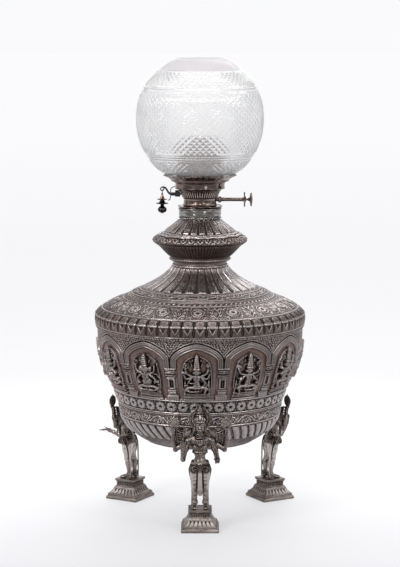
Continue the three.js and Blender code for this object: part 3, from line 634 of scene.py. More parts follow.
# the flared rim: a waved bright lip over a leaf band
def h_rim(PH, S, R):
    s0, s1 = P_TOP.s_at_z(461.8), P_TOP.s_at_z(444.6)
    L = s1 - s0
    v = S - s0
    wave = 0.8 * np.sin(PH * 13 + 0.6) + 0.5 * np.sin(PH * 29 + 2.0)
    h = 0.9 * dome(((v - 2.6 - 0.5 * wave) / 1.6) ** 2, 0.5)
    lip = dome(((v - 8.9 - wave) / 2.5) ** 2, 0.5)
    h = np.maximum(h, 2.2 * lip)
    h = h - 0.8 * np.exp(-((v - 11.7 - 0.8 * wave) / 0.8) ** 2) - 0.6 * np.exp(-((v - 5.6 - 0.7 * wave) / 1.0) ** 2)
    u, k = per(PH, 34)
    w = 2 * PI * 76 / 34
    x = u * w
    y = v - 19.0
    lean = np.where(k % 2 == 0, 1.0, -1.0)
    band = sstep(v, 12.6, 13.8)
    lf = 0
    for cx, cy, a, Lx, Wx in ((-3.2, -0.6, 55, 3.9, 1.7), (3.2, 0.9, -55, 3.9, 1.7), (0.0, 3.6, 0, 2.6, 1.3), (0.2, -4.0, 90, 1.7, 1.4), (-5.6, 4.2, 80, 2.4, 1.3), (5.4, -4.4, 70, 2.2, 1.2)):
        c, s_ = math.cos(math.radians(a)), math.sin(math.radians(a))
        dx, dy = (x - cx * lean), y - cy
        p, q = dx * c + dy * s_ * lean, -dx * s_ * lean + dy * c
        lf = np.maximum(lf, 0.95 * dome((p / Lx) ** 2 + (q / Wx) ** 2, 0.5))
    h = h + band * (lf - 0.4)
    # painted shade under the rim's edge, a painted highlight along the lip, the leaf band a little darker
    return h + hammer(PH, S, R, 0.08) * (1 - lip), {"ink": 0.5 * sstep(v, L - 2.2, L) - 0.16 * lip + 0.08 * band}

# the reeded cup under the rim and the beaded ring
def h_cup(PH, S, R):
    s1 = P_TOP.s_at_z(421.4)
    s0 = P_TOP.s_at_z(444.6)
    u, k = per(PH, 84)
    on = sstep(S, s0 + 2.0, s0 + 4.0) * (1 - sstep(S, s1 - 2.2, s1 - 0.8))
    h = on * (0.5 * np.cos(PI * u) ** 0.8 - 0.25)
    h = h - 1.6 * np.exp(-((S - s0 - 1.4) / 1.3) ** 2)
    # painted shade under the rim's overhang, fading towards the bead
    return h, {"ink": 0.32 * sstep(S, s0 - 0.5, s0 + 1.0) - 0.2 * sstep(S, s1 - 4, s1) + 0.0 * h}

def h_bead(PH, S, R):
    s0 = P_TOP.s_at_z(421.4)
    sm = P_TOP.s_at_z(417.4)
    u, k = per(PH, 72)
    h = 0.5 * np.cos(PI * u) ** 0.5 * dome(((S - sm) / 2.6) ** 2, 0.5)
    # painted shade in the groove below the beads
    return h, {"ink": 0.8 * sstep(S, P_TOP.s_at_z(415.2), P_TOP.s_at_z(413.2)) + 0 * h}

# the long flutes of the shoulder
def h_flutes(PH, S, R):
    s1 = P_SH.s_at_z(370.6)
    t = np.clip(S / s1, 0, 1)
    u, k = per(PH, 28, -4.2 + 12.857 / 2)
    w = 2 * PI * R / 28
    d = (0.5 - np.abs(u)) * w
    on = sstep(S, 3.4, 6.0) * (1 - sstep(S, s1 - 4.2, s1 - 1.0))
    lobe = 1.5 * (1 - (2 * np.abs(u)) ** 3.2)
    gw = 0.95 + 1.5 * sstep(t, 0.1, 0.95)
    slit = (1.9 + 0.8 * t) * np.exp(-(d / gw) ** 2)
    # a thin dart stands in the wide end of each slit
    dart = 1.1 * np.exp(-(d / 0.42) ** 2) * sstep(t, 0.62, 0.8)
    rim = 0.42 * np.exp(-((d - gw - 0.85) / 0.34) ** 2) + 0.22 * np.exp(-((d - gw - 2.3) / 0.28) ** 2)
    n_l = 5
    line = 0.17 * np.cos(u * 2 * PI * n_l) * (np.abs(u) < 0.32) * sstep(t, 0.1, 0.3)
    tick = 0.12 * np.sin(S * 2.4 + 4 * np.sin(u * 9)) * (np.abs(u) < 0.3) * sstep(t, 0.45, 0.6)
    h = (lobe - slit + dart + rim + line + tick) * on
    h = h + 0.5 * dome(((S - 2.0) / 1.5) ** 2, 0.5) - 1.1 * np.exp(-((S - s1 + 0.1) / 0.7) ** 2)
    # painted shade in the slits, and a painted lift of brightness over the flutes above their lower ends
    ink = 0.5 * np.exp(-(d / (gw * 0.85)) ** 2) * on * (1 - 0.6 * sstep(t, 0.8, 0.95))
    return h - 0.5 * on + hammer(PH, S, R, 0.07), {"ink": ink - 0.36 * sstep(S, 2.0, 8.0) * (1 - sstep(t, 0.72, 0.98))}

# leaf scroll, twisted cord and the broad band of rosettes and palmettes
def h_rosettes(PH, S, R):
    sA = P_SH.s_at_z(370.6)
    z2s = P_SH.s_at_z
    h = np.zeros_like(S)
    # narrow scroll between two fillets
    c = z2s(365.6)
    hw = 0.5 * (z2s(362.9) - z2s(368.6))
    n = 22
    u, k = per(PH, n, 3)
    w = 2 * PI * 106 / n
    X, Y = u * w, (c - S)
    sgn = np.where(k % 2 == 0, 1.0, -1.0)
    r1 = Relief(X, Y * sgn, -3.0)
    r1.arc(0, 0.6, 3.6, -150, 150, 0.85, 1.5, -0.3)
    r1.path(curve_pts([(-w / 2, -2.2), (-9, -2.6), (-4.4, -3.2), (0.5, -3.1)], 5), 0.8, 1.4, -0.3)
    r1.path(curve_pts([(0.5, -3.1), (5.4, -3.2), (10, 0.4), (w / 2, 2.2)], 5), 0.8, 1.4, -0.3)
    leaf(r1, 6.0, -1.0, 7.0, 1.7, 62, 1.5, -0.3)
    leaf(r1, -5.6, 0.6, 6.0, 1.6, 150, 1.5, -0.3)
    leaf(r1, -5.0, -1.4, 5.0, 1.3, 205, 1.3, -0.3)
    r1.ell(0.3, 0.8, 1.7, 1.7, 1.7, -0.3)
    r1.cut(0.3, 0.8, 0.8, 0.8, 1.2)
    inb = np.abs(S - c) < hw
    h = np.where(inb, np.maximum(r1.h, -0.7 + 0.8 * (foliage(X, Y, 3.0, 1.0, 2) + 0.5)) + 0.1, h)
    # fillets
    for zz, ww, rr in ((368.6, 1.0, 0.9), (362.3, 1.1, 1.2), (360.6, 0.8, 0.9)):
        h = np.maximum(h, ridge(S, z2s(zz), ww, rr))
    h = h - 0.9 * np.exp(-((S - z2s(361.5)) / 0.6) ** 2) - 0.9 * np.exp(-((S - z2s(369.5)) / 0.7) ** 2)
    # twisted cord
    c = z2s(357.4)
    u, k = per(PH, 90)
    w = 2 * PI * 121.5 / 90
    x, y = u * w, S - c
    p, q = x * 0.82 + y * 0.57, -x * 0.57 + y * 0.82
    x2 = x + np.where(x > 0, -w, w)
    p2, q2 = x2 * 0.82 + y * 0.57, -x2 * 0.57 + y * 0.82
    cord = np.maximum(dome((p / 2.5) ** 2 + (q / 3.7) ** 2, 0.5), dome((p2 / 2.5) ** 2 + (q2 / 3.7) ** 2, 0.5)) * 1.3 - 0.5
    h = np.where(np.abs(y) < 3.5, np.maximum(cord, -0.5), h)
    h = np.maximum(h, ridge(S, z2s(355.0), 0.9, 1.0))
    h = np.maximum(h, ridge(S, z2s(359.4), 0.7, 0.8))
    # rosettes and palmettes
    c = z2s(347.4)
    u, k = per(PH, 32, -1.4)
    odd = k % 2 == 1
    w = 2 * PI / 32
    lat = 144.0
    X, Y = u * w * (lat + (R - lat) * 0.6), c - S
    ro = Relief(X, Y, -3.0)
    rosette(ro, 0, 0, 11.2, 1.9, 9, -0.35)
    for a in range(0, 360, 40):
        ro.ell(6.1 * math.cos(math.radians(a)), 6.1 * math.sin(math.radians(a)), 1.5, 1.1, 0.6, 0.7, a)
    for sx in (-1, 1):
        for sy in (-1, 1):
            leaf(ro, sx * 13.2, sy * 8.0, 8.0, 1.9, 90 + (0 if sy > 0 else 180) + sx * sy * 26, 1.3, -0.3)
            leaf(ro, sx * 9.4, sy * 12.4, 6.0, 1.5, 90 + (0 if sy > 0 else 180) - sx * sy * 24, 1.2, -0.3)
    pa = Relief(X, Y, -3.0)
    for sx in (-1, 1):
        pa.path(curve_pts([(0, -15.0), (sx * 4.2, -8), (sx * 5.0, 0), (sx * 2.8, 8.0), (0, 12.5)], 6), 0.95, 1.6, -0.35)
        leaf(pa, sx * 0.6, -6.5, 12.5, 1.6, 90 - sx * 5, 1.7, -0.3)
        leaf(pa, sx * 5.6, -11.5, 10.5, 2.0, 90 - sx * 22, 1.5, -0.3)
        leaf(pa, sx * 6.2, -3.5, 10.0, 1.9, 90 - sx * 17, 1.5, -0.3)
        leaf(pa, sx * 3.6, 6.0, 9.5, 1.9, 90 - sx * 32, 1.5, -0.3)
        leaf(pa, sx * 2.6, -15.5, 7.0, 1.7, 90 - sx * 74, 1.3, -0.3)
        pa.arc(sx * 9.6, 12.4, 2.2, 0, 360, 0.75, 1.2, -0.3)
    pa.cut(0, 0, 0.95, 6.8, 2.2)
    pa.ell(0, 14.8, 1.5, 1.9, 1.5, -0.35)
    inb = np.abs(Y) < (c - z2s(354.4))
    body = np.where(odd, pa.h, ro.h)
    ground = -0.75 + 0.8 * (foliage(X, Y, 3.7, 1.1, 6) + 0.5) + 0.1 * np.sin(X * 2.3) * np.sin(Y * 2.1)
    h = np.where(inb, np.maximum(body, ground), h)
    h = np.maximum(h, ridge(S, z2s(338.6), 1.1, 1.3))
    e = sstep(S, sA, sA + 0.5)
    return h * e + hammer(PH, S, R, 0.08), {"ink": 0.05 + 0 * h}

# the lappets that roll over the edge
def h_lappets(PH, S, R):
    z2s = P_SH.s_at_z
    u, k = per(PH, 55)
    w = 2 * PI * 170 / 55
    x = u * w
    ax = np.abs(x)
    d = (0.5 - np.abs(u)) * w
    s0, sb, se = z2s(337.4), z2s(328.4), z2s(312.8)
    on = sstep(S, s0, s0 + 1.0) * (1 - sstep(S, se - 0.6, se + 0.6))
    up = 1 - sstep(S, sb + 0.5, sb + 3.0)
    lobe = (0.55 + 0.85 * up) * (1 - (2 * np.abs(u)) ** 4) * on
    bulge = 0.7 * dome(((S - sb) / 2.4) ** 2, 0.6)
    slit = 1.5 * np.exp(-(d / 0.8) ** 2) * on * up * (1 - 0.75 * np.exp(-((S - sb) / 1.5) ** 2))
    # outline and veins in the upper half
    top = ((np.abs(x) / 7.3) ** 4 + (np.abs(S - (s0 + 6.4)) / 5.4) ** 4) ** 0.25
    line = -0.75 * np.exp(-((top - 1.0) * 6.5 / 0.5) ** 2) * up * on
    veins = 0.3 * np.cos(x * 2 * PI / 2.5 + 1.2 * np.sin(S * 0.9 + k)) * (ax < 5.0) * sstep(S, s0 + 1.6, s0 + 3.0) * up * (0.5 + 0.5 * hash01(k, 3))
    # spade-shaped recess under each slit, a leaf tip standing in it
    t = np.clip((S - (sb + 2.2)) / (se - 0.6 - sb - 2.2), 0, 1)
    hw = 4.6 * 1.75 * np.minimum(t, 0.99) ** 0.75 * (1 - t) ** 0.85
    pit = sstep(hw - d, -0.25, 0.45) * (S > sb + 2.0) * (S < se)
    tip = 1.5 * dome((d / 0.75) ** 2, 0.5) * pit * (1 - sstep(t, 0.75, 0.95))
    # a chevron under each lappet, dark within
    xv = 5.6 * (1 - np.clip((S - sb - 2.6) / 9.6, 0, 1))
    inv = (S > sb + 2.0) & (S < sb + 12.4)
    vee = 0.55 * np.exp(-((ax - xv) / 0.7) ** 2) * inv
    core = sstep(xv - ax, 0.9, 1.6) * inv * (1 - 0.0 * S)
    h = lobe + bulge * on - slit + line + veins
    h = h * (1 - pit) - 1.5 * pit + tip + vee - 0.7 * core
    h = np.maximum(h, ridge(S, z2s(337.9), 1.0, 1.1))
    h = np.where(S > se, 0.55 * (1 - sstep(S, z2s(311.6), P_SH.L)), h)
    low = sstep(S, sb + 1.0, sb + 4.0) * (1 - sstep(S, se - 2.0, se + 1.0))
    # painted shade over the lappets, deepest in the slits, the pits and the chevrons' cores, lighter low down; grd is
    # the copper showing in the pits
    ink = 0.25 * on - 0.14 * low + 0.60 * pit * (tip < 0.3) + 0.10 * core + 0.22 * np.exp(-(d / 0.8) ** 2) * up * on
    return h - 0.3 * on + hammer(PH, S, R, 0.08), {"ink": ink, "grd": np.clip(0.9 * pit * (tip < 0.3) + 0.45 * core + 0.15 * low, 0, 1)}

# one bay of the arcade: X across, Y up from the foot of the bay (mm)
ARCH = [(-43.0, 56.0), (-42.6, 70.0), (-41.8, 75.0), (-39.0, 79.6), (-34.6, 84.0), (-30.0, 87.6), (-21.6, 92.4), (-10.0, 96.9), (0.0, 98.8)]
ARCH = ARCH + [(-x, y) for x, y in ARCH[-2::-1]]

def dist_line(X, Y, pts):
    best = np.full(X.shape, 1e9)
    for (x0, y0), (x1, y1) in zip(pts[:-1], pts[1:]):
        ax, ay = x1 - x0, y1 - y0
        t = np.clip(((X - x0) * ax + (Y - y0) * ay) / (ax * ax + ay * ay), 0, 1)
        best = np.minimum(best, (X - x0 - t * ax) ** 2 + (Y - y0 - t * ay) ** 2)
    return np.sqrt(best)

def arch_y(X):
    a = np.array(ARCH)
    k = np.argsort(a[:, 0])
    return np.interp(X, a[k, 0], a[k, 1])

ARCH_S = curve_pts(ARCH, 4)

def arcade_relief(X, Y, kind, mirror):
    n = 43.33
    R = Relief(X, Y, 0.0)
    ax = np.abs(X)
    inside = (Y < arch_y(np.clip(X, -42.9, 42.9))) & (ax < 43.0)
    d = dist_line(X, Y, ARCH_S)
    sd_n = np.where(inside, np.where(Y > 56.5, d - 10.2, 32.8 - ax), -d)       # > 0 in the niche
    sd_n = np.minimum(sd_n, Y + 1.0)
    nf = sstep(sd_n, -0.6, 0.6)
    niche = sd_n > 0
    # copper ground of the niche lies back; it is smooth
    R.h = -0.1 - 1.5 * nf
    dd = np.where(Y > 56.5, d, 99.0)
    rib = 0.9 + 0.9 * dome(((dd - 1.9) / 1.2) ** 2, 0.5)
    rib = np.maximum(rib, 0.9 + 0.75 * dome(((dd - 5.2) / 2.0) ** 2, 0.5))
    rib = np.maximum(rib, 0.9 + 1.1 * dome(((dd - 8.9) / 1.1) ** 2, 0.5))
    rib = rib - 0.6 * np.exp(-((dd - 3.3) / 0.35) ** 2) - 0.45 * np.exp(-((dd - 7.4) / 0.35) ** 2)
    R._put(np.where(inside & (dd < 10.3), rib, -9.0), 0.15)
    groove = np.exp(-((d - 0.1) / 0.75) ** 2) * (Y > 56.5)
    R.h = R.h - 0.9 * groove
    # dense foliage over the columns
    out = ~inside & (Y > 58)
    out_f = sstep(np.where(inside, -d, d), 0.3, 1.0) * (Y > 58)
    xs = np.where(X > 0, X - n, X + n)
    sp = Relief(xs, Y, -0.5)
    sp.h = foliage(xs, Y, 4.3, 1.4)
    for s2 in (-1, 1):
        leaf(sp, s2 * 0.3, 72, 9, 1.8, 90 - s2 * 20, 2.2, -0.2)
    rim = 1.3 * dome(((np.where(inside, 9.0, d) - 2.0) / 0.8) ** 2, 0.5)
    R.h = np.where(out, np.maximum(sp.h, rim) * out_f + R.h * (1 - out_f), R.h)
    # painted shade low between the leaves of the spandrels
    painted_shade_leaves = out_f * np.clip(0.75 - 0.55 * (sp.h + 0.5), 0, 1) * (rim < 0.4)
    # columns
    panel = np.zeros_like(X)
    for sx in (-1, 1):
        x = sx * n
        def rc(hw, y0, y1, rise, edge=0.7):
            R.rect(x - hw, x + hw, y0, y1, rise, edge)
        rc(9.7, 55.0, 57.6, 3.4); rc(8.2, 51.4, 54.4, 2.8); rc(8.9, 48.8, 50.8, 3.4)
        rc(6.6, 46.4, 48.4, 1.6)
        rc(9.8, 43.6, 46.0, 3.6); rc(8.6, 40.2, 43.0, 2.9); rc(7.6, 38.0, 39.8, 3.3)
        rc(6.4, 19.8, 37.8, 1.6, 0.5)
        pn = sstep(3.6 - np.abs(X - x), 0, 0.6) * sstep(Y, 21.6, 22.4) * (1 - sstep(Y, 35.6, 36.4))
        R.h = R.h - 2.0 * pn
        panel = np.maximum(panel, pn)
        R.cap(x, 24.0, x, 34.0, 0.8, 0.8, 1.0, 1.0, -0.4)
        rc(8.4, 16.8, 19.6, 3.5); rc(7.6, 9.8, 16.2, 3.0); rc(8.8, 7.2, 9.2, 3.4); rc(11.2, -1.0, 6.6, 2.6)
        R.ell(x, 13.0, 2.4, 2.4, 1.1, 2.8); R.cut(x, 13.0, 1.0, 1.0, 1.6)
        for j in range(5):
            R.ell(x + (j - 2) * 4.1, 2.8, 1.6, 2.1, 1.0, 2.3)
        for a in (-40, 0, 40):
            leaf(R, x, 51.0, 3.6, 1.2, 90 + a, 1.0, 2.5)
            leaf(R, x, 40.0, 3.4, 1.2, 90 + a, 1.0, 2.6)
        for yy in (54.8, 50.9, 46.2, 43.2, 39.9, 19.7, 16.5, 9.5, 6.9):
            R.h = R.h - 0.8 * np.exp(-((Y - yy) / 0.4) ** 2) * (np.abs(X - x) < 9.2)
    D = Relief(X / 1.15, Y / 0.985, -9.0)        # figures are drawn slimmer than they stand
    deity(D, kind, mirror)
    on = (D.h > -1.5) & (ax < 31.5)
    # the ground sinks between the limbs, and painted shade darkens it there
    hull = np.clip(blur(on.astype(float), 5, 2) * 3.2 - 1.1, 0, 1) * niche
    gap = hull * (~on)
    R.h = R.h - 1.0 * gap
    R._put(np.where(on, D.h * 0.95, -9.0), 0.15)
    R.rect(-60, 60, 103.0, 104.4, 0.8, 0.6)
    h = R.h
    hf = h
    for ax_ in (0, 1):
        h = 0.5 * h + 0.25 * (np.roll(h, 1, ax_) + np.roll(h, -1, ax_))
    h[:, 0], h[:, -1] = R.h[:, 0], R.h[:, -1]
    low = np.clip(blur(h, 2, 2) - h, 0, 2)
    # painted shade between the limbs, in the figures' low parts, between the leaves, in the groove round the arch and
    # in the columns' sunk panels; cav below adds patina and painted shade in the hollows
    ink = 0.20 * gap + on * (0.04 + np.clip(low * 0.5, 0, 0.45)) + 0.36 * painted_shade_leaves + 0.2 * groove + 0.4 * panel
    ground = nf * (1 - on) * (1 - gap)
    h = h + ground * (0.22 * np.sin(X * 0.9 + 1.7 * np.sin(Y * 0.31)) * np.sin(Y * 0.8 + 1.3 * np.sin(X * 0.37)) + 0.10 * np.sin(X * 2.3 + Y) * np.sin(Y * 1.9 - X * 0.7))
    cav = np.clip(blur(h, 2, 2) - h + 0.6 * (blur(h, 5, 2) - h), -0.75, 2.0)
    return h, np.clip(ink, 0, 1), ground, 0.52 * np.minimum(cav, 1.3) * (1 - 0.5 * ground)

S_ARC = P_BOWL.s_at_z(207.9)
def off_arc(S):
    """How far the arcade's ground lies inside the body's outline."""
    return 0.2 + 3.3 * sstep(S, 1.0, 9.0) * (1 - sstep(S, S_ARC - 7.0, S_ARC + 1.0)) + 0.6 * sstep(S, S_ARC - 7.0, S_ARC + 1.0)

BAYS = [(0, 1), (2, 1), (3, -1), (1, -1), (0, -1), (2, -1), (3, 1), (1, 1), (0, 1), (2, 1), (3, -1), (1, 1)]
ARC_PHASE = -1.8

# rosette ring, line and scroll under the arcade
def h_ring(PH, S, R):
    z2s = P_BOWL.s_at_z
    h = np.full(S.shape, -0.3)
    c = z2s(195.8)
    u, k = per(PH, 46, -3.2)
    w = 2 * PI * 139.4 / 46
    X, Y = u * w, c - S
    ro = Relief(X, Y, -3.0)
    rosette(ro, 0, 0, 8.6, 2.6, 8, -0.2, ring=False)
    ro.arc(0, 0, 8.5, 0, 360, 0.7, 1.2, -0.2)
    for sy in (-1, 1):
        ro.ell(w / 2, sy * 6.4, 1.1, 1.6, 1.2, -0.2)
        ro.ell(-w / 2, sy * 6.4, 1.1, 1.6, 1.2, -0.2)
    inb = np.abs(Y) < 10.6
    h = np.where(inb, np.maximum(ro.h, -0.8), h)
    h = np.maximum(h, ridge(S, z2s(207.0) + 0.4, 1.2, 1.6))
    h = np.maximum(h, ridge(S, z2s(185.6), 1.0, 1.4))
    h = np.maximum(h, ridge(S, z2s(182.9), 0.9, 1.1))
    h = h - 0.9 * np.exp(-((S - z2s(184.2)) / 0.6) ** 2)
    # scroll: paired leaves on a wavy stem
    c = z2s(172.6)
    hw = 0.5 * (z2s(164.6) - z2s(181.6))
    n = 34
    u, k = per(PH, n, 2.0)
    w = 2 * PI * 133.4 / n
    X, Y = u * w, c - S
    sg = np.where(k % 2 == 0, 1.0, -1.0)
    sc = Relief(X, Y * sg, -3.0)
    sc.path(curve_pts([(-w / 2, 0), (-8, -3.4), (-3, -5.6), (3, -5.2), (8, -2.4), (w / 2, 0)], 5), 0.85, 1.5, -0.3)
    sc.arc(0.5, 0.8, 3.9, -80, 200, 0.9, 1.7, -0.2)
    sc.ell(0.3, 0.6, 1.9, 1.9, 1.9, -0.2); sc.cut(0.3, 0.6, 0.8, 0.8, 1.2)
    for a, L, x, y in ((58, 8.5, 4.6, -2.4), (100, 6.5, -1.0, 2.4), (140, 8.0, -4.4, -1.2), (20, 6.0, 6.8, -3.6), (188, 5.5, -6.0, -3.0), (75, 6.0, -8.5, 0.0), (110, 6.0, 9.2, 1.0)):
        leaf(sc, x, y, L, 1.7, a, 1.7, -0.2)
    inb = np.abs(S - c) < hw
    h = np.where(inb, np.maximum(sc.h, -0.9 + 0.9 * (foliage(X, Y, 3.9, 1.2, 9) + 0.5)), h)
    h = np.maximum(h, ridge(S, z2s(163.6), 1.1, 1.5))
    return h - 0.5 + hammer(PH, S, R, 0.09), {"ink": -0.05 * sstep(S, z2s(185.0), z2s(183.0)) + 0 * h}

# slanted gadroons under the bowl, plain below
def h_gadroons(PH, S, R):
    v = S - P_BOWL.s_at_z(162.6)
    twist = np.radians(0.17 * v)
    u, k = per(PH - twist, 52, -40.6 + 3.46)
    w = 2 * PI * R / 52
    d = (0.5 - np.abs(u)) * w
    end = 31.0 - 4.5 * (2 * np.abs(u)) ** 2.2 + 1.2 * (hash01(k, 7) - 0.5)
    on = sstep(v, 0.6, 3.2) * (1 - sstep(v, end - 2.6, end))
    lobe = 3.0 * (1 - (2 * np.abs(u)) ** 2.0)
    gw = 0.95
    slit = 1.5 * np.exp(-(d / gw) ** 2)
    rim = 0.35 * np.exp(-((d - gw - 0.9) / 0.4) ** 2)
    line = 0.14 * np.cos(u * 2 * PI * 4) * (np.abs(u) < 0.3)
    h = (lobe - slit + rim + line - 1.6) * on - 0.25
    # painted shade in the slits between the gadroons
    return h + hammer(PH, S, R, 0.14), {"ink": 0.06 + 0.42 * np.exp(-(d / 1.2) ** 2) * on}

def h_base(PH, S, R):
    s0 = P_BOWL.s_at_z(120.5)
    v = S - s0
    h = -0.3 + 1.2 * dome(((v - 3.0) / 1.6) ** 2, 0.5) + 0.9 * dome(((v - 40.0) / 2.2) ** 2, 0.5)
    u, k = per(PH, 24)
    w = 2 * PI * R / 24
    X, Y = u * w, -(v - 20.0)
    pet = 1.4 * dome((X / np.maximum(w * 0.44, 0.1)) ** 2 + (Y / 14.0) ** 2, 0.5)
    return np.maximum(h, pet - 0.3) + hammer(PH, S, R, 0.1)

# ---------------------------------------------------------------- materials
def new_mat(name):
    m = bpy.data.materials.new(name)
    m.use_nodes = True
    t = m.node_tree
    t.nodes.clear()
    out = t.nodes.new("ShaderNodeOutputMaterial")
    b = t.nodes.new("ShaderNodeBsdfPrincipled")
    t.links.new(b.outputs[0], out.inputs[0])
    return m, t, b

class NT:
    """Short names for shader nodes."""
    def __init__(self, t):
        self.t = t

    def _set(self, sock, v):
        if isinstance(v, bpy.types.NodeSocket):
            self.t.links.new(v, sock)
        else:
            sock.default_value = v

    def math(self, op, a, b=0.0, c=None, clamp=False):
        n = self.t.nodes.new("ShaderNodeMath")
        n.operation, n.use_clamp = op, clamp
        self._set(n.inputs[0], a)
        self._set(n.inputs[1], b)
        if c is not None:
            self._set(n.inputs[2], c)
        return n.outputs[0]

    def attr(self, name):
        n = self.t.nodes.new("ShaderNodeAttribute")
        n.attribute_name = name
        return n.outputs["Fac"]

    def coord(self, kind="Object", scale=None):
        n = self.t.nodes.new("ShaderNodeTexCoord")
        o = n.outputs[kind]
        if scale:
            m = self.t.nodes.new("ShaderNodeMapping")
            m.inputs["Scale"].default_value = scale
            self.t.links.new(o, m.inputs["Vector"])
            o = m.outputs[0]
        return o

    def noise(self, scale, detail=4, rough=0.6, vec=None, dist=0.0):
        n = self.t.nodes.new("ShaderNodeTexNoise")
        n.inputs["Scale"].default_value = scale
        n.inputs["Detail"].default_value = detail
        n.inputs["Roughness"].default_value = rough
        n.inputs["Distortion"].default_value = dist
        self.t.links.new(vec or self.coord(), n.inputs["Vector"])
        return n.outputs["Fac"]

    def ramp(self, fac, stops, interp="LINEAR"):
        r = self.t.nodes.new("ShaderNodeValToRGB")
        r.color_ramp.interpolation = interp
        e = r.color_ramp.elements
        while len(e) > 1:
            e.remove(e[-1])
        col = lambda c: (c, c, c, 1) if isinstance(c, float) else (*c, 1)
        e[0].position, e[0].color = stops[0][0], col(stops[0][1])
        for p, c in stops[1:]:
            e.new(p).color = col(c)
        self._set(r.inputs[0], fac)
        return r.outputs[0]

    def mix(self, fac, a, b, kind="MIX"):
        n = self.t.nodes.new("ShaderNodeMix")
        n.data_type, n.blend_type = "RGBA", kind
        self._set(n.inputs[0], fac)
        self._set(n.inputs[6], a if isinstance(a, bpy.types.NodeSocket) else (*a, 1))
        self._set(n.inputs[7], b if isinstance(b, bpy.types.NodeSocket) else (*b, 1))
        return n.outputs[2]

    def bump(self, height, strength, dist, normal=None):
        n = self.t.nodes.new("ShaderNodeBump")
        n.inputs["Strength"].default_value = strength
        n.inputs["Distance"].default_value = dist
        self.t.links.new(height, n.inputs["Height"])
        if normal:
            self.t.links.new(normal, n.inputs["Normal"])
        return n.outputs[0]

def metal(name, dark, low, mid, high, rough=(0.3, 0.5), tint=None, cav_k=0.55, hgt_k=0.08, base=0.5, patch=22, bump_s=0.3, grain=1500, beat=0.0, dull=0.0):
    """Worn metal: dark in the recesses, as patina and painted shade; bright where it has been rubbed; painted shade and
    painted highlights come from a per-vertex attribute.
    """
    m, t, b = new_mat(name)
    g = NT(t)
    cav, hgt, ink, grd = g.attr("cav"), g.attr("hgt"), g.attr("ink"), g.attr("grd")
    big = g.noise(patch, 5, 0.62)
    fine = g.noise(patch * 9, 4, 0.6)
    tone = g.math("MULTIPLY_ADD", cav, -cav_k, base)
    tone = g.math("MULTIPLY_ADD", hgt, hgt_k, tone)
    tone = g.math("ADD", tone, g.math("MULTIPLY_ADD", big, 0.42, -0.21))
    tone = g.math("ADD", tone, g.math("MULTIPLY_ADD", fine, 0.26, -0.13))
    # painted shade where this attribute is positive, a painted highlight where it is negative
    tone = g.math("MULTIPLY_ADD", ink, -0.9, tone, clamp=True)
    col = g.ramp(tone, [(0.02, dark), (0.3, low), (0.55, mid), (0.9, high)])
    if tint:
        worn = g.ramp(g.noise(patch * 1.9, 5, 0.65), [(0.36, 0.30), (0.62, 0.95)])
        col = g.mix(g.math("MULTIPLY", grd, worn), col, g.mix(g.ramp(tone, [(0.1, 0.25), (0.6, 1.0)]), (0.0, 0.0, 0.0), tint))
        patchy = g.ramp(g.noise(patch * 0.55, 3, 0.5), [(0.5, 0.0), (0.68, 1.0)])
        col = g.mix(g.math("MULTIPLY", patchy, 0.35), col, g.mix(1.0, col, (1.25, 0.92, 0.82), "MULTIPLY"))
    t.links.new(col, b.inputs["Base Color"])
    b.inputs["Metallic"].default_value = 1.0
    rr = g.ramp(tone, [(0.15, float(rough[1])), (0.8, float(rough[0]))])
    rr = g.math("MULTIPLY_ADD", g.noise(patch * 4, 3), 0.16, g.math("SUBTRACT", rr, 0.08), clamp=True)
    if dull:                     # parts left matt from the mould
        rr = g.math("MULTIPLY_ADD", grd, dull, rr, clamp=True)
    t.links.new(rr, b.inputs["Roughness"])
    scr = g.noise(260, 2, 0.5, g.coord(scale=(1, 1, 7)))
    n1 = g.bump(scr, bump_s * 0.5, 0.0001)
    if beat:                     # the marks of the hammer and the chaser
        n1 = g.bump(g.noise(330, 3, 0.6), beat, 0.0004, n1)
    t.links.new(g.bump(g.noise(grain, 3, 0.6), bump_s, 0.00012, n1), b.inputs["Normal"])
    return m

M = {
    "embossed": metal("silvered_copper", (0.018, 0.014, 0.013), (0.088, 0.067, 0.060), (0.190, 0.160, 0.152), (0.37, 0.345, 0.34), (0.27, 0.50), tint=(0.185, 0.118, 0.100), beat=0.35),
    "cast": metal("cast_silvered", (0.012, 0.009, 0.008), (0.10, 0.080, 0.070), (0.27, 0.235, 0.215), (0.56, 0.52, 0.485), (0.10, 0.34), patch=45, base=0.58, bump_s=0.2, dull=0.22),
    "burner": metal("burner_brass", (0.010, 0.007, 0.006), (0.060, 0.043, 0.037), (0.155, 0.118, 0.104), (0.42, 0.34, 0.30), (0.13, 0.36), patch=40, bump_s=0.15, base=0.57),
    "steel": metal("dark_steel", (0.006, 0.006, 0.007), (0.03, 0.03, 0.033), (0.07, 0.07, 0.075), (0.16, 0.16, 0.165), (0.2, 0.42), patch=60, bump_s=0.15),
    "collar": metal("collar_brass", (0.02, 0.019, 0.017), (0.12, 0.113, 0.106), (0.27, 0.258, 0.247), (0.47, 0.455, 0.44), (0.14, 0.32), patch=45, bump_s=0.12, base=0.6),
    "tin": metal("tinplate", (0.05, 0.05, 0.05), (0.22, 0.22, 0.21), (0.38, 0.38, 0.37), (0.55, 0.55, 0.54), (0.34, 0.5), patch=30),
}

def glass():
    m, t, b = new_mat("cut_glass")
    g = NT(t)
    frost = g.attr("frost")
    t.links.new(g.mix(frost, (1.0, 1.0, 1.0), (0.80, 0.775, 0.79)), b.inputs["Base Color"])
    b.inputs["Transmission Weight"].default_value = 0.80
    b.inputs["Specular Tint"].default_value = (0.2, 0.2, 0.2, 1)
    b.inputs["Specular IOR Level"].default_value = 0.15
    b.inputs["IOR"].default_value = 1.47
    rr = g.math("MULTIPLY_ADD", frost, 0.48, 0.045)
    rr = g.math("MULTIPLY_ADD", g.noise(50, 3), 0.05, rr, clamp=True)
    t.links.new(rr, b.inputs["Roughness"])
    t.links.new(g.bump(g.noise(420, 3), 0.08, 0.0002), b.inputs["Normal"])
    return m
M["glass"] = glass()

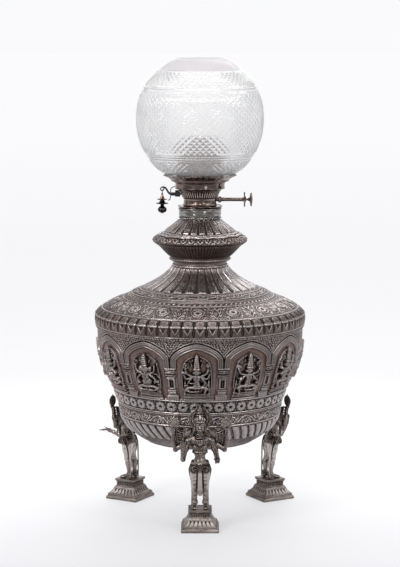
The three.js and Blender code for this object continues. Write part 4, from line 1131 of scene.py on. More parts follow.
def cotton():
    m, t, b = new_mat("woven_cotton")
    g = NT(t)
    n = t.nodes.new("ShaderNodeTexWave")
    n.inputs["Scale"].default_value = 420
    t.links.new(g.coord(), n.inputs["Vector"])
    f = g.math("MULTIPLY_ADD", n.outputs["Fac"], 0.5, g.math("MULTIPLY", g.noise(600, 2), 0.5))
    t.links.new(g.ramp(f, [(0.2, (0.36, 0.31, 0.24)), (0.8, (0.74, 0.69, 0.58))]), b.inputs["Base Color"])
    b.inputs["Roughness"].default_value = 0.95
    t.links.new(g.bump(f, 0.5, 0.0004), b.inputs["Normal"])
    return m
M["wick"] = cotton()

slot_of = {s["node"]: s["material_slot"] for s in frame["record"]["subparts"]}
for n, o in nodes.items():
    o.data.materials.clear()
    o.data.materials.append(M[slot_of[n]])

def piece(o, body, node=None):
    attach(o, body)
    for n in ([node] if isinstance(node, str) else (node or [])):
        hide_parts(n)
    return o

# ---------------------------------------------------------------- the body
def shell(name, prof, s0, s1, node, height, pitch=0.7, r_mean=None, **kw):
    s = np.linspace(s0, s1, 50)
    r = float(np.max(prof.at(s)[0])) * 0.5 + float(np.mean(prof.at(s)[0])) * 0.5 if r_mean is None else r_mean
    nu = int(2 * PI * r / pitch / 8) * 8
    o = band(name, prof, s0, s1, nu, height, pitch, mat=M["embossed"], **kw)
    return piece(o, "stand", node)

zt, zs, zb = P_TOP.s_at_z, P_SH.s_at_z, P_BOWL.s_at_z
shell("neck_bell_relief", P_TOP, 0.0, zt(461.8), "neck_bell", h_bell, 0.5)
shell("knop_rim_relief", P_TOP, zt(461.8), zt(444.6), "knop_rim", h_rim, 0.55)
shell("neck_cup_relief", P_TOP, zt(444.6), zt(421.4), "neck_cup", h_cup, 0.6)
shell("neck_bead_relief", P_TOP, zt(421.4), P_TOP.L, "neck_bead_ring", h_bead, 0.5)
shell("shoulder_flutes", P_SH, 0.0, zs(370.6), "shoulder_cover", h_flutes, 0.62)
shell("shoulder_rosettes", P_SH, zs(370.6), zs(338.1), "shoulder_cover", h_rosettes, 0.72)
shell("shoulder_lappets", P_SH, zs(338.1), P_SH.L, "shoulder_cover", h_lappets, 0.68)

def arcade():
    for i, (kind, mirror) in enumerate(BAYS):
        pc = math.radians(ARC_PHASE + 30 * i)
        def f(PH, S, R, pc=pc, kind=kind, mirror=mirror):
            X, Y = (PH - pc) * 165.5, 106.0 - S
            h, ink, grd, cav = arcade_relief(X, Y, kind, mirror)
            fade = sstep(S, 0.0, 1.2)
            return h * fade - off_arc(S) + hammer(PH, S, R, 0.1), {"ink": 0.11 - 0.14 * grd + 0.8 * ink, "grd": grd, "hgt": 0.8 * np.clip(h + 0.6, -1.5, 1.6) * (1 - grd) + 0.6 * grd, "cav": cav}
        half = math.radians(15)
        o = band("arcade_%02d" % i, P_BOWL, 0.0, S_ARC, 184, f, 0.52, thick=7.0, phi0=pc - half, phi1=pc + half, mat=M["embossed"])
        piece(o, "stand", "lower_bowl")
arcade()
shell("bowl_rosette_ring", P_BOWL, S_ARC, zb(162.6), "lower_bowl", h_ring, 0.68)
shell("bowl_gadroons", P_BOWL, zb(162.6), zb(120.5), "lower_bowl", h_gadroons, 0.8, r_mean=118)
shell("bowl_underside", P_BOWL, zb(120.5), P_BOWL.L, "lower_bowl", h_base, 1.4, r_mean=62)

# ---------------------------------------------------------------- cast figures: distance fields joined softly, then meshed
FOOT_R, FEET = 137.0, (("front", 0.0), ("left", -120.0), ("right", 120.0))

class Sdf:
    def __init__(self, lo, hi, h):
        self.h = h * FINE
        self.lo = np.array(lo, float)
        n = np.ceil((np.array(hi, float) - self.lo) / self.h).astype(int) + 1
        self.d = np.full(n, 9.0, np.float32)
        self.ax = [(self.lo[i] + self.h * np.arange(n[i])).astype(np.float32) for i in range(3)]

    def put(self, f, lo, hi, k=1.0, cut=False):
        m = 2.2 + k
        sl = []
        for i in range(3):
            a = max(0, int((lo[i] - m - self.lo[i]) / self.h))
            b = min(self.d.shape[i], int((hi[i] + m - self.lo[i]) / self.h) + 2)
            if b <= a:
                return
            sl.append(slice(a, b))
        sl = tuple(sl)
        v = f(self.ax[0][sl[0]][:, None, None], self.ax[1][sl[1]][None, :, None], self.ax[2][sl[2]][None, None, :]).astype(np.float32)
        a = self.d[sl]
        self.d[sl] = -smax(-a, -v, k) if not cut else smax(a, -v, k)

    def rc(self, a, b, ra, rb=None, k=1.0, cut=False):
        rb = ra if rb is None else rb
        a, b = np.array(a, float), np.array(b, float)
        u = b - a
        L = max(float(u @ u), 1e-9)
        def f(X, Y, Z):
            x, y, z = X - a[0], Y - a[1], Z - a[2]
            t = np.clip((x * u[0] + y * u[1] + z * u[2]) / L, 0, 1)
            return np.sqrt((x - t * u[0]) ** 2 + (y - t * u[1]) ** 2 + (z - t * u[2]) ** 2) - (ra + (rb - ra) * t)
        r = max(ra, rb)
        self.put(f, np.minimum(a, b) - r, np.maximum(a, b) + r, k, cut)

    def ell(self, c, r, rot=None, k=1.0, cut=False):
        c, r = np.array(c, float), np.array(r, float)
        R = np.eye(3) if rot is None else rot
        def f(X, Y, Z):
            x, y, z = X - c[0], Y - c[1], Z - c[2]
            q = [(x * R[0, i] + y * R[1, i] + z * R[2, i]) / r[i] for i in range(3)]
            k0 = np.sqrt(q[0] ** 2 + q[1] ** 2 + q[2] ** 2)
            k1 = np.sqrt((q[0] / r[0]) ** 2 + (q[1] / r[1]) ** 2 + (q[2] / r[2]) ** 2)
            return np.where(k1 > 1e-6, k0 * (k0 - 1) / np.maximum(k1, 1e-6), -min(r))
        e = np.abs(R) @ r
        self.put(f, c - e, c + e, k, cut)

    def box(self, c, half, rnd=0.6, rot=None, k=1.0, cut=False):
        c, half = np.array(c, float), np.array(half, float) - rnd
        R = np.eye(3) if rot is None else rot
        def f(X, Y, Z):
            x, y, z = X - c[0], Y - c[1], Z - c[2]
            q = [np.abs(x * R[0, i] + y * R[1, i] + z * R[2, i]) - half[i] for i in range(3)]
            out = np.sqrt(sum(np.maximum(a, 0) ** 2 for a in q))
            return out + np.minimum(np.maximum(q[0], np.maximum(q[1], q[2])), 0) - rnd
        e = np.abs(R) @ (half + rnd)
        self.put(f, c - e, c + e, k, cut)

    def disc(self, c, n, r, t, rnd=0.5, k=1.0, cut=False):
        """A round plate of radius r and thickness t, axis n."""
        c, n = np.array(c, float), np.array(n, float)
        n /= np.linalg.norm(n)
        def f(X, Y, Z):
            x, y, z = X - c[0], Y - c[1], Z - c[2]
            a = x * n[0] + y * n[1] + z * n[2]
            rad = np.sqrt(np.maximum(x * x + y * y + z * z - a * a, 0))
            q0, q1 = rad - (r - rnd), np.abs(a) - (t / 2 - rnd)
            return np.sqrt(np.maximum(q0, 0) ** 2 + np.maximum(q1, 0) ** 2) + np.minimum(np.maximum(q0, q1), 0) - rnd
        e = r * np.sqrt(np.maximum(1 - n * n, 0)) + t / 2 * np.abs(n)
        self.put(f, c - e, c + e, k, cut)

    def tor(self, c, n, Rad, r, k=0.4, squash=1.0, cut=False):
        c, n = np.array(c, float), np.array(n, float)
        n /= np.linalg.norm(n)
        def f(X, Y, Z):
            x, y, z = X - c[0], Y - c[1], Z - c[2]
            a = x * n[0] + y * n[1] + z * n[2]
            rad = np.sqrt(np.maximum(x * x + y * y + z * z - a * a, 0))
            return np.sqrt((rad - Rad) ** 2 + (a / squash) ** 2) - r
        e = (Rad + r) * np.sqrt(np.maximum(1 - n * n, 0)) + r * np.abs(n)
        self.put(f, c - e, c + e, k, cut)

    def chain(self, pts, r, k=0.6, cut=False):
        n = len(pts) - 1
        for i in range(n):
            if isinstance(r, tuple):
                a, b = r[0] + (r[1] - r[0]) * i / n, r[0] + (r[1] - r[0]) * (i + 1) / n
            else:
                a = b = r
            self.rc(pts[i], pts[i + 1], a, b, k if i == 0 or cut else min(k, 0.25), cut)

    def beads(self, pts, r, k=0.25):
        for p in pts:
            self.ell(p, (r, r, r), k=k)

    def sample(self, P):
        g = (P - self.lo) / self.h
        n = np.array(self.d.shape) - 2
        i = np.clip(np.floor(g).astype(int), 0, n)
        t = np.clip(g - i, 0, 1)
        d, out = self.d, 0
        for a in (0, 1):
            for b in (0, 1):
                for c in (0, 1):
                    w = (t[:, 0] if a else 1 - t[:, 0]) * (t[:, 1] if b else 1 - t[:, 1]) * (t[:, 2] if c else 1 - t[:, 2])
                    out = out + w * d[i[:, 0] + a, i[:, 1] + b, i[:, 2] + c]
        return out

    def mesh(self):
        """Surface nets. Returns vertices, quads, and the hollow and edge measures."""
        d = self.d
        s = d < 0
        cnt = 0
        for i in (0, 1):
            for j in (0, 1):
                for k in (0, 1):
                    cnt = cnt + s[i:s.shape[0] - 1 + i, j:s.shape[1] - 1 + j, k:s.shape[2] - 1 + k].astype(np.int8)
        act = (cnt > 0) & (cnt < 8)
        cells = np.argwhere(act)
        idx = np.full(act.shape, -1, np.int32)
        idx[act] = np.arange(len(cells))
        P, N = np.zeros((len(cells), 3)), np.zeros(len(cells))
        for ax in range(3):
            o = [q for q in range(3) if q != ax]
            for a in (0, 1):
                for b in (0, 1):
                    e0 = [0, 0, 0]
                    e0[o[0]], e0[o[1]] = a, b
                    e1 = list(e0)
                    e1[ax] = 1
                    v0 = d[cells[:, 0] + e0[0], cells[:, 1] + e0[1], cells[:, 2] + e0[2]]
                    v1 = d[cells[:, 0] + e1[0], cells[:, 1] + e1[1], cells[:, 2] + e1[2]]
                    x = (v0 < 0) != (v1 < 0)
                    t = v0[x] / (v0[x] - v1[x])
                    p = cells[x] + np.array(e0, float)
                    p[:, ax] += t
                    P[x] += p
                    N[x] += 1
        V = self.lo + self.h * P / N[:, None]
        quads = []
        for ax in range(3):
            o = [q for q in range(3) if q != ax]
            lo = [slice(1, -1)] * 3
            lo[ax] = slice(0, -1)
            hi = list(lo)
            hi[ax] = slice(1, None)
            a, b = s[tuple(lo)], s[tuple(hi)]
            e = np.argwhere(a != b)
            if not len(e):
                continue
            inside = a[tuple(e.T)]
            base = e.copy()
            for q in o:
                base[:, q] += 1
            def cell(da, db):
                c = base.copy()
                c[:, o[0]] -= da
                c[:, o[1]] -= db
                return idx[tuple(c.T)]
            q = np.stack([cell(1, 1), cell(0, 1), cell(0, 0), cell(1, 0)], -1)
            flip = inside if ax != 1 else ~inside
            q[~flip] = q[~flip][:, ::-1]
            quads.append(q)
        F = np.concatenate(quads)
        g = self.h * 0.7
        E = np.eye(3) * g
        n = np.stack([self.sample(V + E[i]) - self.sample(V - E[i]) for i in range(3)], -1)
        n /= np.maximum(np.linalg.norm(n, axis=1), 1e-6)[:, None]
        V = V - n * np.clip(self.sample(V), -0.3, 0.3)[:, None] * 0.8
        hollow = sum(w * np.clip(1 - self.sample(V + n * t) / t, 0, 1.6) for t, w in ((0.9, 0.5), (2.0, 0.6), (3.6, 0.4)))
        edge = sum(w * np.clip((self.sample(V - n * t) + t) / t, 0, 1) for t, w in ((0.8, 0.6), (1.8, 0.4)))
        return V, F, hollow, edge

def rot_xyz(ax, ay=0.0, az=0.0):
    a, b, c = (math.radians(q) for q in (ax, ay, az))
    Rx = np.array([[1, 0, 0], [0, math.cos(a), -math.sin(a)], [0, math.sin(a), math.cos(a)]])
    Ry = np.array([[math.cos(b), 0, math.sin(b)], [0, 1, 0], [-math.sin(b), 0, math.cos(b)]])
    Rz = np.array([[math.cos(c), -math.sin(c), 0], [math.sin(c), math.cos(c), 0], [0, 0, 1]])
    return Rz @ Ry @ Rx

def curve3(pts, n=8):
    P = np.array(pts, float)
    P = np.concatenate([2 * P[:1] - P[1:2], P, 2 * P[-1:] - P[-2:-1]])
    out = []
    for i in range(1, len(P) - 2):
        for t in np.linspace(0, 1, n, endpoint=False):
            a, b, c, d = P[i - 1], P[i], P[i + 1], P[i + 2]
            out.append(0.5 * (2 * b + (c - a) * t + (2 * a - 5 * b + 4 * c - d) * t**2 + (3 * b - a - 3 * c + d) * t**3))
    out.append(P[-2])
    return out

def ringed(S, a, b, ra, n=1, r=0.55, step=1.2):
    """n thin rings round a limb at point a, spaced towards b."""
    a, b = np.array(a, float), np.array(b, float)
    u = (b - a) / np.linalg.norm(b - a)
    for i in range(n):
        S.tor(a + u * step * i, u, ra, r, k=0.3)

def clear_of_bowl(S, gap=0.5):
    """Cuts away what would reach into the bowl's wall."""
    z = P_BOWL.p[::-1, 1]
    R = np.interp(S.ax[2], z, P_BOWL.p[::-1, 0])
    r = np.sqrt(S.ax[0][:, None] ** 2 + (S.ax[1][None, :] - FOOT_R) ** 2)
    wall = (R + gap)[None, None, :] - r[:, :, None]
    wall[:, :, S.ax[2] < z[0]] = -9.0
    S.d = np.maximum(S.d, wall.astype(np.float32))

def fig_body():
    S = Sdf((-58, -30, 32.5), (58, 13, 163), 0.58)
    for s in (-1, 1):
        # leg
        S.rc((s * 8.9, -3.4, 97), (s * 8.9, -1.2, 84), 7.6, 6.9, 2)
        S.rc((s * 8.9, -1.2, 84), (s * 8.5, 0.6, 68.5), 6.9, 5.1, 2)
        S.ell((s * 8.5, -2.6, 68.5), (3.4, 3.2, 4.2), k=2)                      # knee
        S.rc((s * 8.5, 1.2, 67), (s * 8.5, 2.6, 58.5), 4.9, 4.9, 2.5)
        S.ell((s * 8.7, 4.6, 59), (4.2, 3.6, 8.5), k=2.5)                        # calf
        S.rc((s * 8.5, 2.6, 58.5), (s * 8.2, 4.0, 43.5), 4.7, 3.5, 2)
        S.rc((s * 8.2, 4.0, 43.5), (s * 8.3, 4.6, 38.6), 3.5, 3.7, 1)
        S.ell((s * 8.3, 6.0, 37.4), (3.6, 3.8, 3.4), k=1.5)                      # heel
        S.rc((s * 8.3, 2.0, 39.2), (s * 8.9, -8.4, 36.6), 3.7, 2.9, 2)           # instep
        S.ell((s * 9.0, -8.8, 36.4), (4.3, 4.8, 2.1), k=1.5)
        for j in range(5):                                                       # toes
            x = s * (9.0 - 3.3 + 1.66 * j) if s > 0 else s * (9.0 - 3.3 + 1.66 * j)
            S.rc((x, -11.4 + 0.45 * j, 36.3), (x + s * 0.1, -14.6 + 0.75 * j, 35.9), 1.15 - 0.07 * j, 1.2 - 0.1 * j, 0.3)
        # anklet and shin band
        ringed(S, (s * 8.25, 3.9, 43.0), (s * 8.35, 3.7, 48), 4.2, 2, 0.75, 1.9)
        S.beads([(s * 8.28 + 4.7 * math.cos(t), 3.8 + 4.7 * math.sin(t), 41.3) for t in np.linspace(0, 2 * PI, 15)[:-1]], 0.85)
        # the clinging cloth's hem under the knee, and a few shallow folds
        S.tor((s * 8.55, 1.4, 61.6), (0, 0.08, 1), 5.1, 0.4, k=0.6)
        for j in range(4):
            z = 88 - 6.2 * j
            rr = 7.35 - 0.42 * j
            pts = [(s * 8.9 + rr * math.sin(t), -2.2 + 0.5 * j - rr * math.cos(t), z - 2.6 * math.cos(t)) for t in np.linspace(-1.5, 0.2, 8) * s]
            S.chain(pts, 0.05, 0.7)
    # hips, belly, chest
    S.ell((0, -3.2, 100.5), (15.6, 10.6, 8.6), k=3)
    S.ell((0, -3.0, 107), (13.6, 9.4, 6.0), k=3)
    S.rc((0, -4.2, 107), (0, -6.4, 122), 8.6, 8.2, 3)
    S.ell((0, -8.2, 111.5), (9.6, 7.4, 7.0), k=3)                                # belly
    S.ell((0, -7.6, 129.5), (12.2, 8.8, 9.0), k=4)
    S.ell((0, -7.8, 139), (15.2, 8.6, 8.4), k=4)
    for s in (-1, 1):
        S.ell((s * 6.6, -13.6, 135.4), (5.6, 4.6, 5.2), k=1.2)                   # pectorals
        S.ell((s * 6.8, -18.0, 134.6), (0.9, 0.7, 0.9), k=0.3)
        S.ell((s * 17.6, -7.6, 144.2), (6.0, 5.8, 5.6), k=3)                     # shoulders
        S.rc((s * 4, -9.0, 150), (s * 14, -8, 147.2), 4.4, 4.2, 3)
    S.rc((0, -9.6, 146), (0, -12.2, 162), 5.6, 5.2, 2)                           # neck
    S.ell((0, -15.6, 112.6), (1.1, 1.2, 1.1), k=0.3, cut=True)                   # navel
    S.chain([(0, -16.4, 131), (0, -15.6, 123), (0, -15.2, 117)], 0.3, 0.8, cut=True)
    # belt: two cords and a row of plaques, girdle knot
    def hip(t, z, g=0.0, rx=14.6, ry=10.2):
        return ((rx + g) * math.sin(t), -3.2 - (ry + g) * math.cos(t), z)
    for z, g, r in ((110.4, -1.2, 0.8), (107.2, -0.2, 0.8), (104.4, 0.7, 1.0)):
        S.chain([hip(t, z - 1.8 * math.cos(t), g) for t in np.linspace(-2.6, 2.6, 41)], r, 0.4)
    S.beads([hip(t, 107.2 + 1.7 - 1.8 * math.cos(t) - 0.1, -0.4) for t in np.linspace(-2.3, 2.3, 33)], 0.75)
    for j in range(-5, 6):
        if abs(j) > 1:
            p = hip(j * 0.235, 100.6 - 1.2 * abs(math.cos(j * 0.235)), 0.3)
            S.rc((p[0], p[1], 103.4), p, 1.1, 0.9, 0.35)
            S.beads([(p[0], p[1] - 0.2, p[2] - 1.6)], 1.0)
    S.disc((0, -14.6, 106.0), (0, -1, 0.1), 3.8, 2.6, 0.8, 0.4)                  # buckle
    S.tor((0, -15.9, 106.0), (0, -1, 0.1), 2.7, 0.5, k=0.2)
    S.beads([(0, -16.2, 106.0)], 1.1)
    # volutes on the thighs, tied ends of the cloth
    for s in (-1, 1):
        c = np.array((s * 9.6, -13.2, 97.6))
        S.ell(c + (0, 2.2, 0), (5.6, 3.6, 5.8), k=1)
        pts = []
        for j in range(22):
            t = j / 21
            a = PI * 0.5 + s * -1 * (t * 3.4 * PI)
            rad = 5.2 * (1 - 0.78 * t)
            pts.append(c + (rad * math.cos(a), -0.6 - 1.8 * t, rad * math.sin(a)))
        S.chain(pts, 0.95, 0.2)
        S.beads([c + (0, -2.6, 0)], 1.5)
        S.chain(curve3([(s * 5.2, -13.6, 102.6), (s * 10.5, -13.4, 104.2), (s * 14.6, -9.6, 101.4), (s * 15.6, -4.6, 95.4)], 6), (1.3, 1.7), 0.5)
        S.chain(curve3([(s * 15.2, -6.0, 103), (s * 17.0, -1.0, 97), (s * 16.4, 2.5, 88), (s * 14.4, 3.6, 79)], 6), (1.7, 0.9), 0.6)
        # long scarf from the hip down behind the leg
        S.chain(curve3([(s * 14.4, 2.6, 104), (s * 14.8, 6.2, 92), (s * 13.4, 8.0, 76), (s * 12.6, 8.6, 58), (s * 12.8, 8.4, 44), (s * 13.0, 8.0, 36)], 6), (1.5, 1.2), 0.6)
    # the pleated end of the cloth between the legs
    for x, r, w in ((0, 1.35, 0.0), (-2.1, 1.15, 0.7), (2.1, 1.15, 0.7)):
        S.chain(curve3([(x * 0.9, -13.2 + w, 101), (x, -12.0 + w, 92), (x * 1.1, -9.2 + w, 78), (x * 1.2, -7.4 + w, 64), (x * 1.35, -7.2 + w, 57.0 + abs(x) * 0.7)], 6), (r, r * 1.15), 0.35)
    S.ell((0, -7.2, 56.6), (3.7, 1.7, 1.5), k=0.4)
    for z in (94, 89.5, 85):
        S.chain([(-3.2, -11.6 + (94 - z) * 0.17, z), (0, -13.4 + (94 - z) * 0.17, z - 1.0), (3.2, -11.6 + (94 - z) * 0.17, z)], 0.5, 0.2)
    # a web of cast metal between the legs and the sash
    S.box((0, 1.8, 80), (5.2, 1.3, 15), 0.5, rot_xyz(-4), 1.0)
    # necklaces
    def neck(t, rad, z0, drop, y0=-8.8, ry=0.66):
        return (rad * math.sin(t), y0 - rad * ry * math.cos(t) - 1.5 * max(0.0, math.cos(t)) * (z0 < 146), z0 - drop * math.cos(t))
    S.chain([neck(t, 6.6, 157.4, 1.6, -11.0, 0.95) for t in np.linspace(-PI, PI, 29)], 0.75, 0.3)
    S.beads([neck(t, 7.0, 155.4, 1.8, -10.6, 0.92) for t in np.linspace(-2.2, 2.2, 17)], 0.85)
    S.chain([neck(t, 8.2, 152.6, 2.6, -10.0, 0.86) for t in np.linspace(-2.2, 2.2, 25)], 0.7, 0.3)
    for j in range(13):                                                          # broad collar of petals
        t = -1.5 + 3.0 * j / 12
        a, b = neck(t, 9.6, 150.2, 3.2, -9.4, 0.84), neck(t, 14.2, 148.2, 5.6, -8.2, 0.72)
        S.rc(a, b, 1.0, 1.35, 0.3)
    S.chain([neck(t, 15.4, 147.8, 6.8, -7.8, 0.68) for t in np.linspace(-1.5, 1.5, 25)], 0.62, 0.3)
    S.beads([neck(t, 16.2, 147.0, 7.6, -7.6, 0.68) for t in np.linspace(-1.45, 1.45, 21)], 0.7)
    S.disc((0, -18.6, 140.2), (0, -1, 0.35), 2.9, 2.0, 0.6, 0.5)
    S.beads([(0, -19.6, 140.6)], 1.2)
    # sacred thread and the band under the chest
    S.chain(curve3([(12.4, -12.6, 146), (9.0, -16.8, 137), (3.0, -16.6, 126), (-5.0, -15.2, 117), (-9.6, -11.6, 111.5)], 7), 0.62, 0.3)
    S.chain([(12.0 * math.sin(t), -7.4 - 8.9 * math.cos(t), 127.4) for t in np.linspace(-1.7, 1.7, 25)], 0.75, 0.35)
    S.beads([(12.3 * math.sin(t), -7.4 - 9.3 * math.cos(t), 125.6) for t in np.linspace(-1.5, 1.5, 19)], 0.6)
    S.rc((0, -16.4, 127.2), (0, -16.2, 122.6), 1.3, 0.8, 0.3)
    # front arms; the forearms and hands are finer pieces
    for s, el in ((-1, (-27, -4.6, 113.6)), (1, (28, -3.2, 112.6))):
        sh = np.array((s * 19.2, -8.0, 144.0))
        el = np.array(el)
        mid = sh * 0.5 + el * 0.5 + (s * 0.6, -0.6, 0)
        S.rc(sh, mid, 5.0, 4.5, 2)
        S.rc(mid, el, 4.5, 3.9, 1.5)
        S.ell(el, (4.2, 4.3, 4.2), k=1.2)
        u = (el - sh) / np.linalg.norm(el - sh)
        c = sh * 0.62 + el * 0.38
        for q, r, rr in ((-2.2, 0.6, 5.15), (0, 0.9, 5.2), (2.2, 0.6, 5.0)):
            S.tor(c + u * q, u, rr - 0.2, r, k=0.35)
        S.rc(c + (s * 1.2, -4.9, 1.5), c + (s * 0.2, -4.9, 7.0), 1.9, 0.7, 0.4)       # armlet crest
        S.beads([c + (s * 0.8, -5.6, 2.0)], 1.3)
        # rear arm
        a, b, w = np.array((s * 17.5, -4.6, 144.0)), np.array((s * 38.6, -3.2, 129.6)), np.array((s * 41.2, -7.0, 162.8))
        b2 = np.array((s * 42.6, -4.4, 144.0))
        m2 = a * 0.5 + b * 0.5 + (s * 0.6, 0.5, -0.6)
        S.rc(a, m2, 4.7, 4.2, 1.6)
        S.rc(m2, b, 4.2, 3.7, 1.5)
        S.ell(b + (s * 0.4, 0, -0.5), (3.9, 3.9, 3.9), k=1.2)
        S.rc(b, b2, 3.7, 3.4, 1.2)
        S.rc(b2, w, 3.4, 2.3, 2.0)
        for q, rr in ((0.3, 4.6), (0.42, 4.5)):
            S.tor(a + (b - a) * q + (0, 0.3, -1.2), b - a, rr, 0.7, k=0.35)
        for q, rr in ((0.86, 3.0), (0.94, 2.8)):
            S.tor(b2 + (w - b2) * (2 * q - 1), w - b2, rr, 0.65, k=0.3)
        # the feathered scarf between the rear arm and the body
        root = np.array((s * 14.5, -3.4, 151.0))
        for j in range(8):
            t = j / 7
            end = (b * (1 - 2 * t) + b2 * 2 * t if t < 0.5 else b2 * (2 - 2 * t) + w * (2 * t - 1)) + (-s * 2.2, 1.0, 0)
            S.chain(curve3([root + (s * (1 - t) * 2.5, 0, t * 9.0), (root + end) / 2 + (0, 0.6, 1.5 - 2.5 * t), end], 4), (0.95, 0.75), 0.3)
        for j in range(4):
            q = 0.25 + 0.2 * j
            S.chain(curve3([root * (1 - q) + (b + (-s * 2.2, 0.6, 0)) * q, root * (1 - q) + ((b + w) / 2) * q + (0, 0.2, 3.0 * (1 - q) + 1.0), root * (1 - q) + w * q + (0, 0.4, 8.0 * (1 - q))], 4), 0.62, 0.3)
        P0, P1, P2 = root, b + (-s * 1.5, 2.0, 0), w + (-s * 1.5, 2.2, 0)
        n_ = np.cross(P1 - P0, P2 - P0)
        n_ /= np.linalg.norm(n_)
        P2 = P2 + (0, 0, 1.5)
        def tri(X, Y, Z, P0=P0 + (0, 2.0, 3.0), P1=P1, P2=P2, n_=n_):
            pl = np.abs((X - P0[0]) * n_[0] + (Y - P0[1]) * n_[1] + (Z - P0[2]) * n_[2]) - 0.75
            for A, B, C in ((P0, P1, P2), (P1, P2, P0), (P2, P0, P1)):
                e = np.cross(B - A, n_)
                e /= np.linalg.norm(e)
                if (C - A) @ e > 0:
                    e = -e
                pl = np.maximum(pl, (X - A[0]) * e[0] + (Y - A[1]) * e[1] + (Z - A[2]) * e[2])
            return pl
        S.put(tri, np.minimum(np.minimum(P0, P1), P2) - 1, np.maximum(np.maximum(P0, P1), P2) + 3, 0.5)
        # emblem stem and the hand round it
        S.rc((s * 41.2, -7.2, 160.2), (s * 41.2, -7.6, 162.6), 2.0, 1.4, 0.5)
    # hair falling on the shoulders
    for s in (-1, 1):
        S.chain(curve3([(s * 9.6, -8.6, 160), (s * 12.2, -8.0, 153), (s * 14.6, -6.6, 149.4)], 5), (2.0, 1.2), 0.6)
    # the back plate and the lug against the bowl
    S.ell((0, -1.8, 136), (11, 5.0, 16), k=3)
    S.rc((0, -3, 150), (0, -3.2, 162), 7.0, 8.2, 2)
    # feet stand on the plinth
    S.d = np.maximum(S.d, (34.2 - S.ax[2])[None, None, :].astype(np.float32))
    clear_of_bowl(S)
    return S

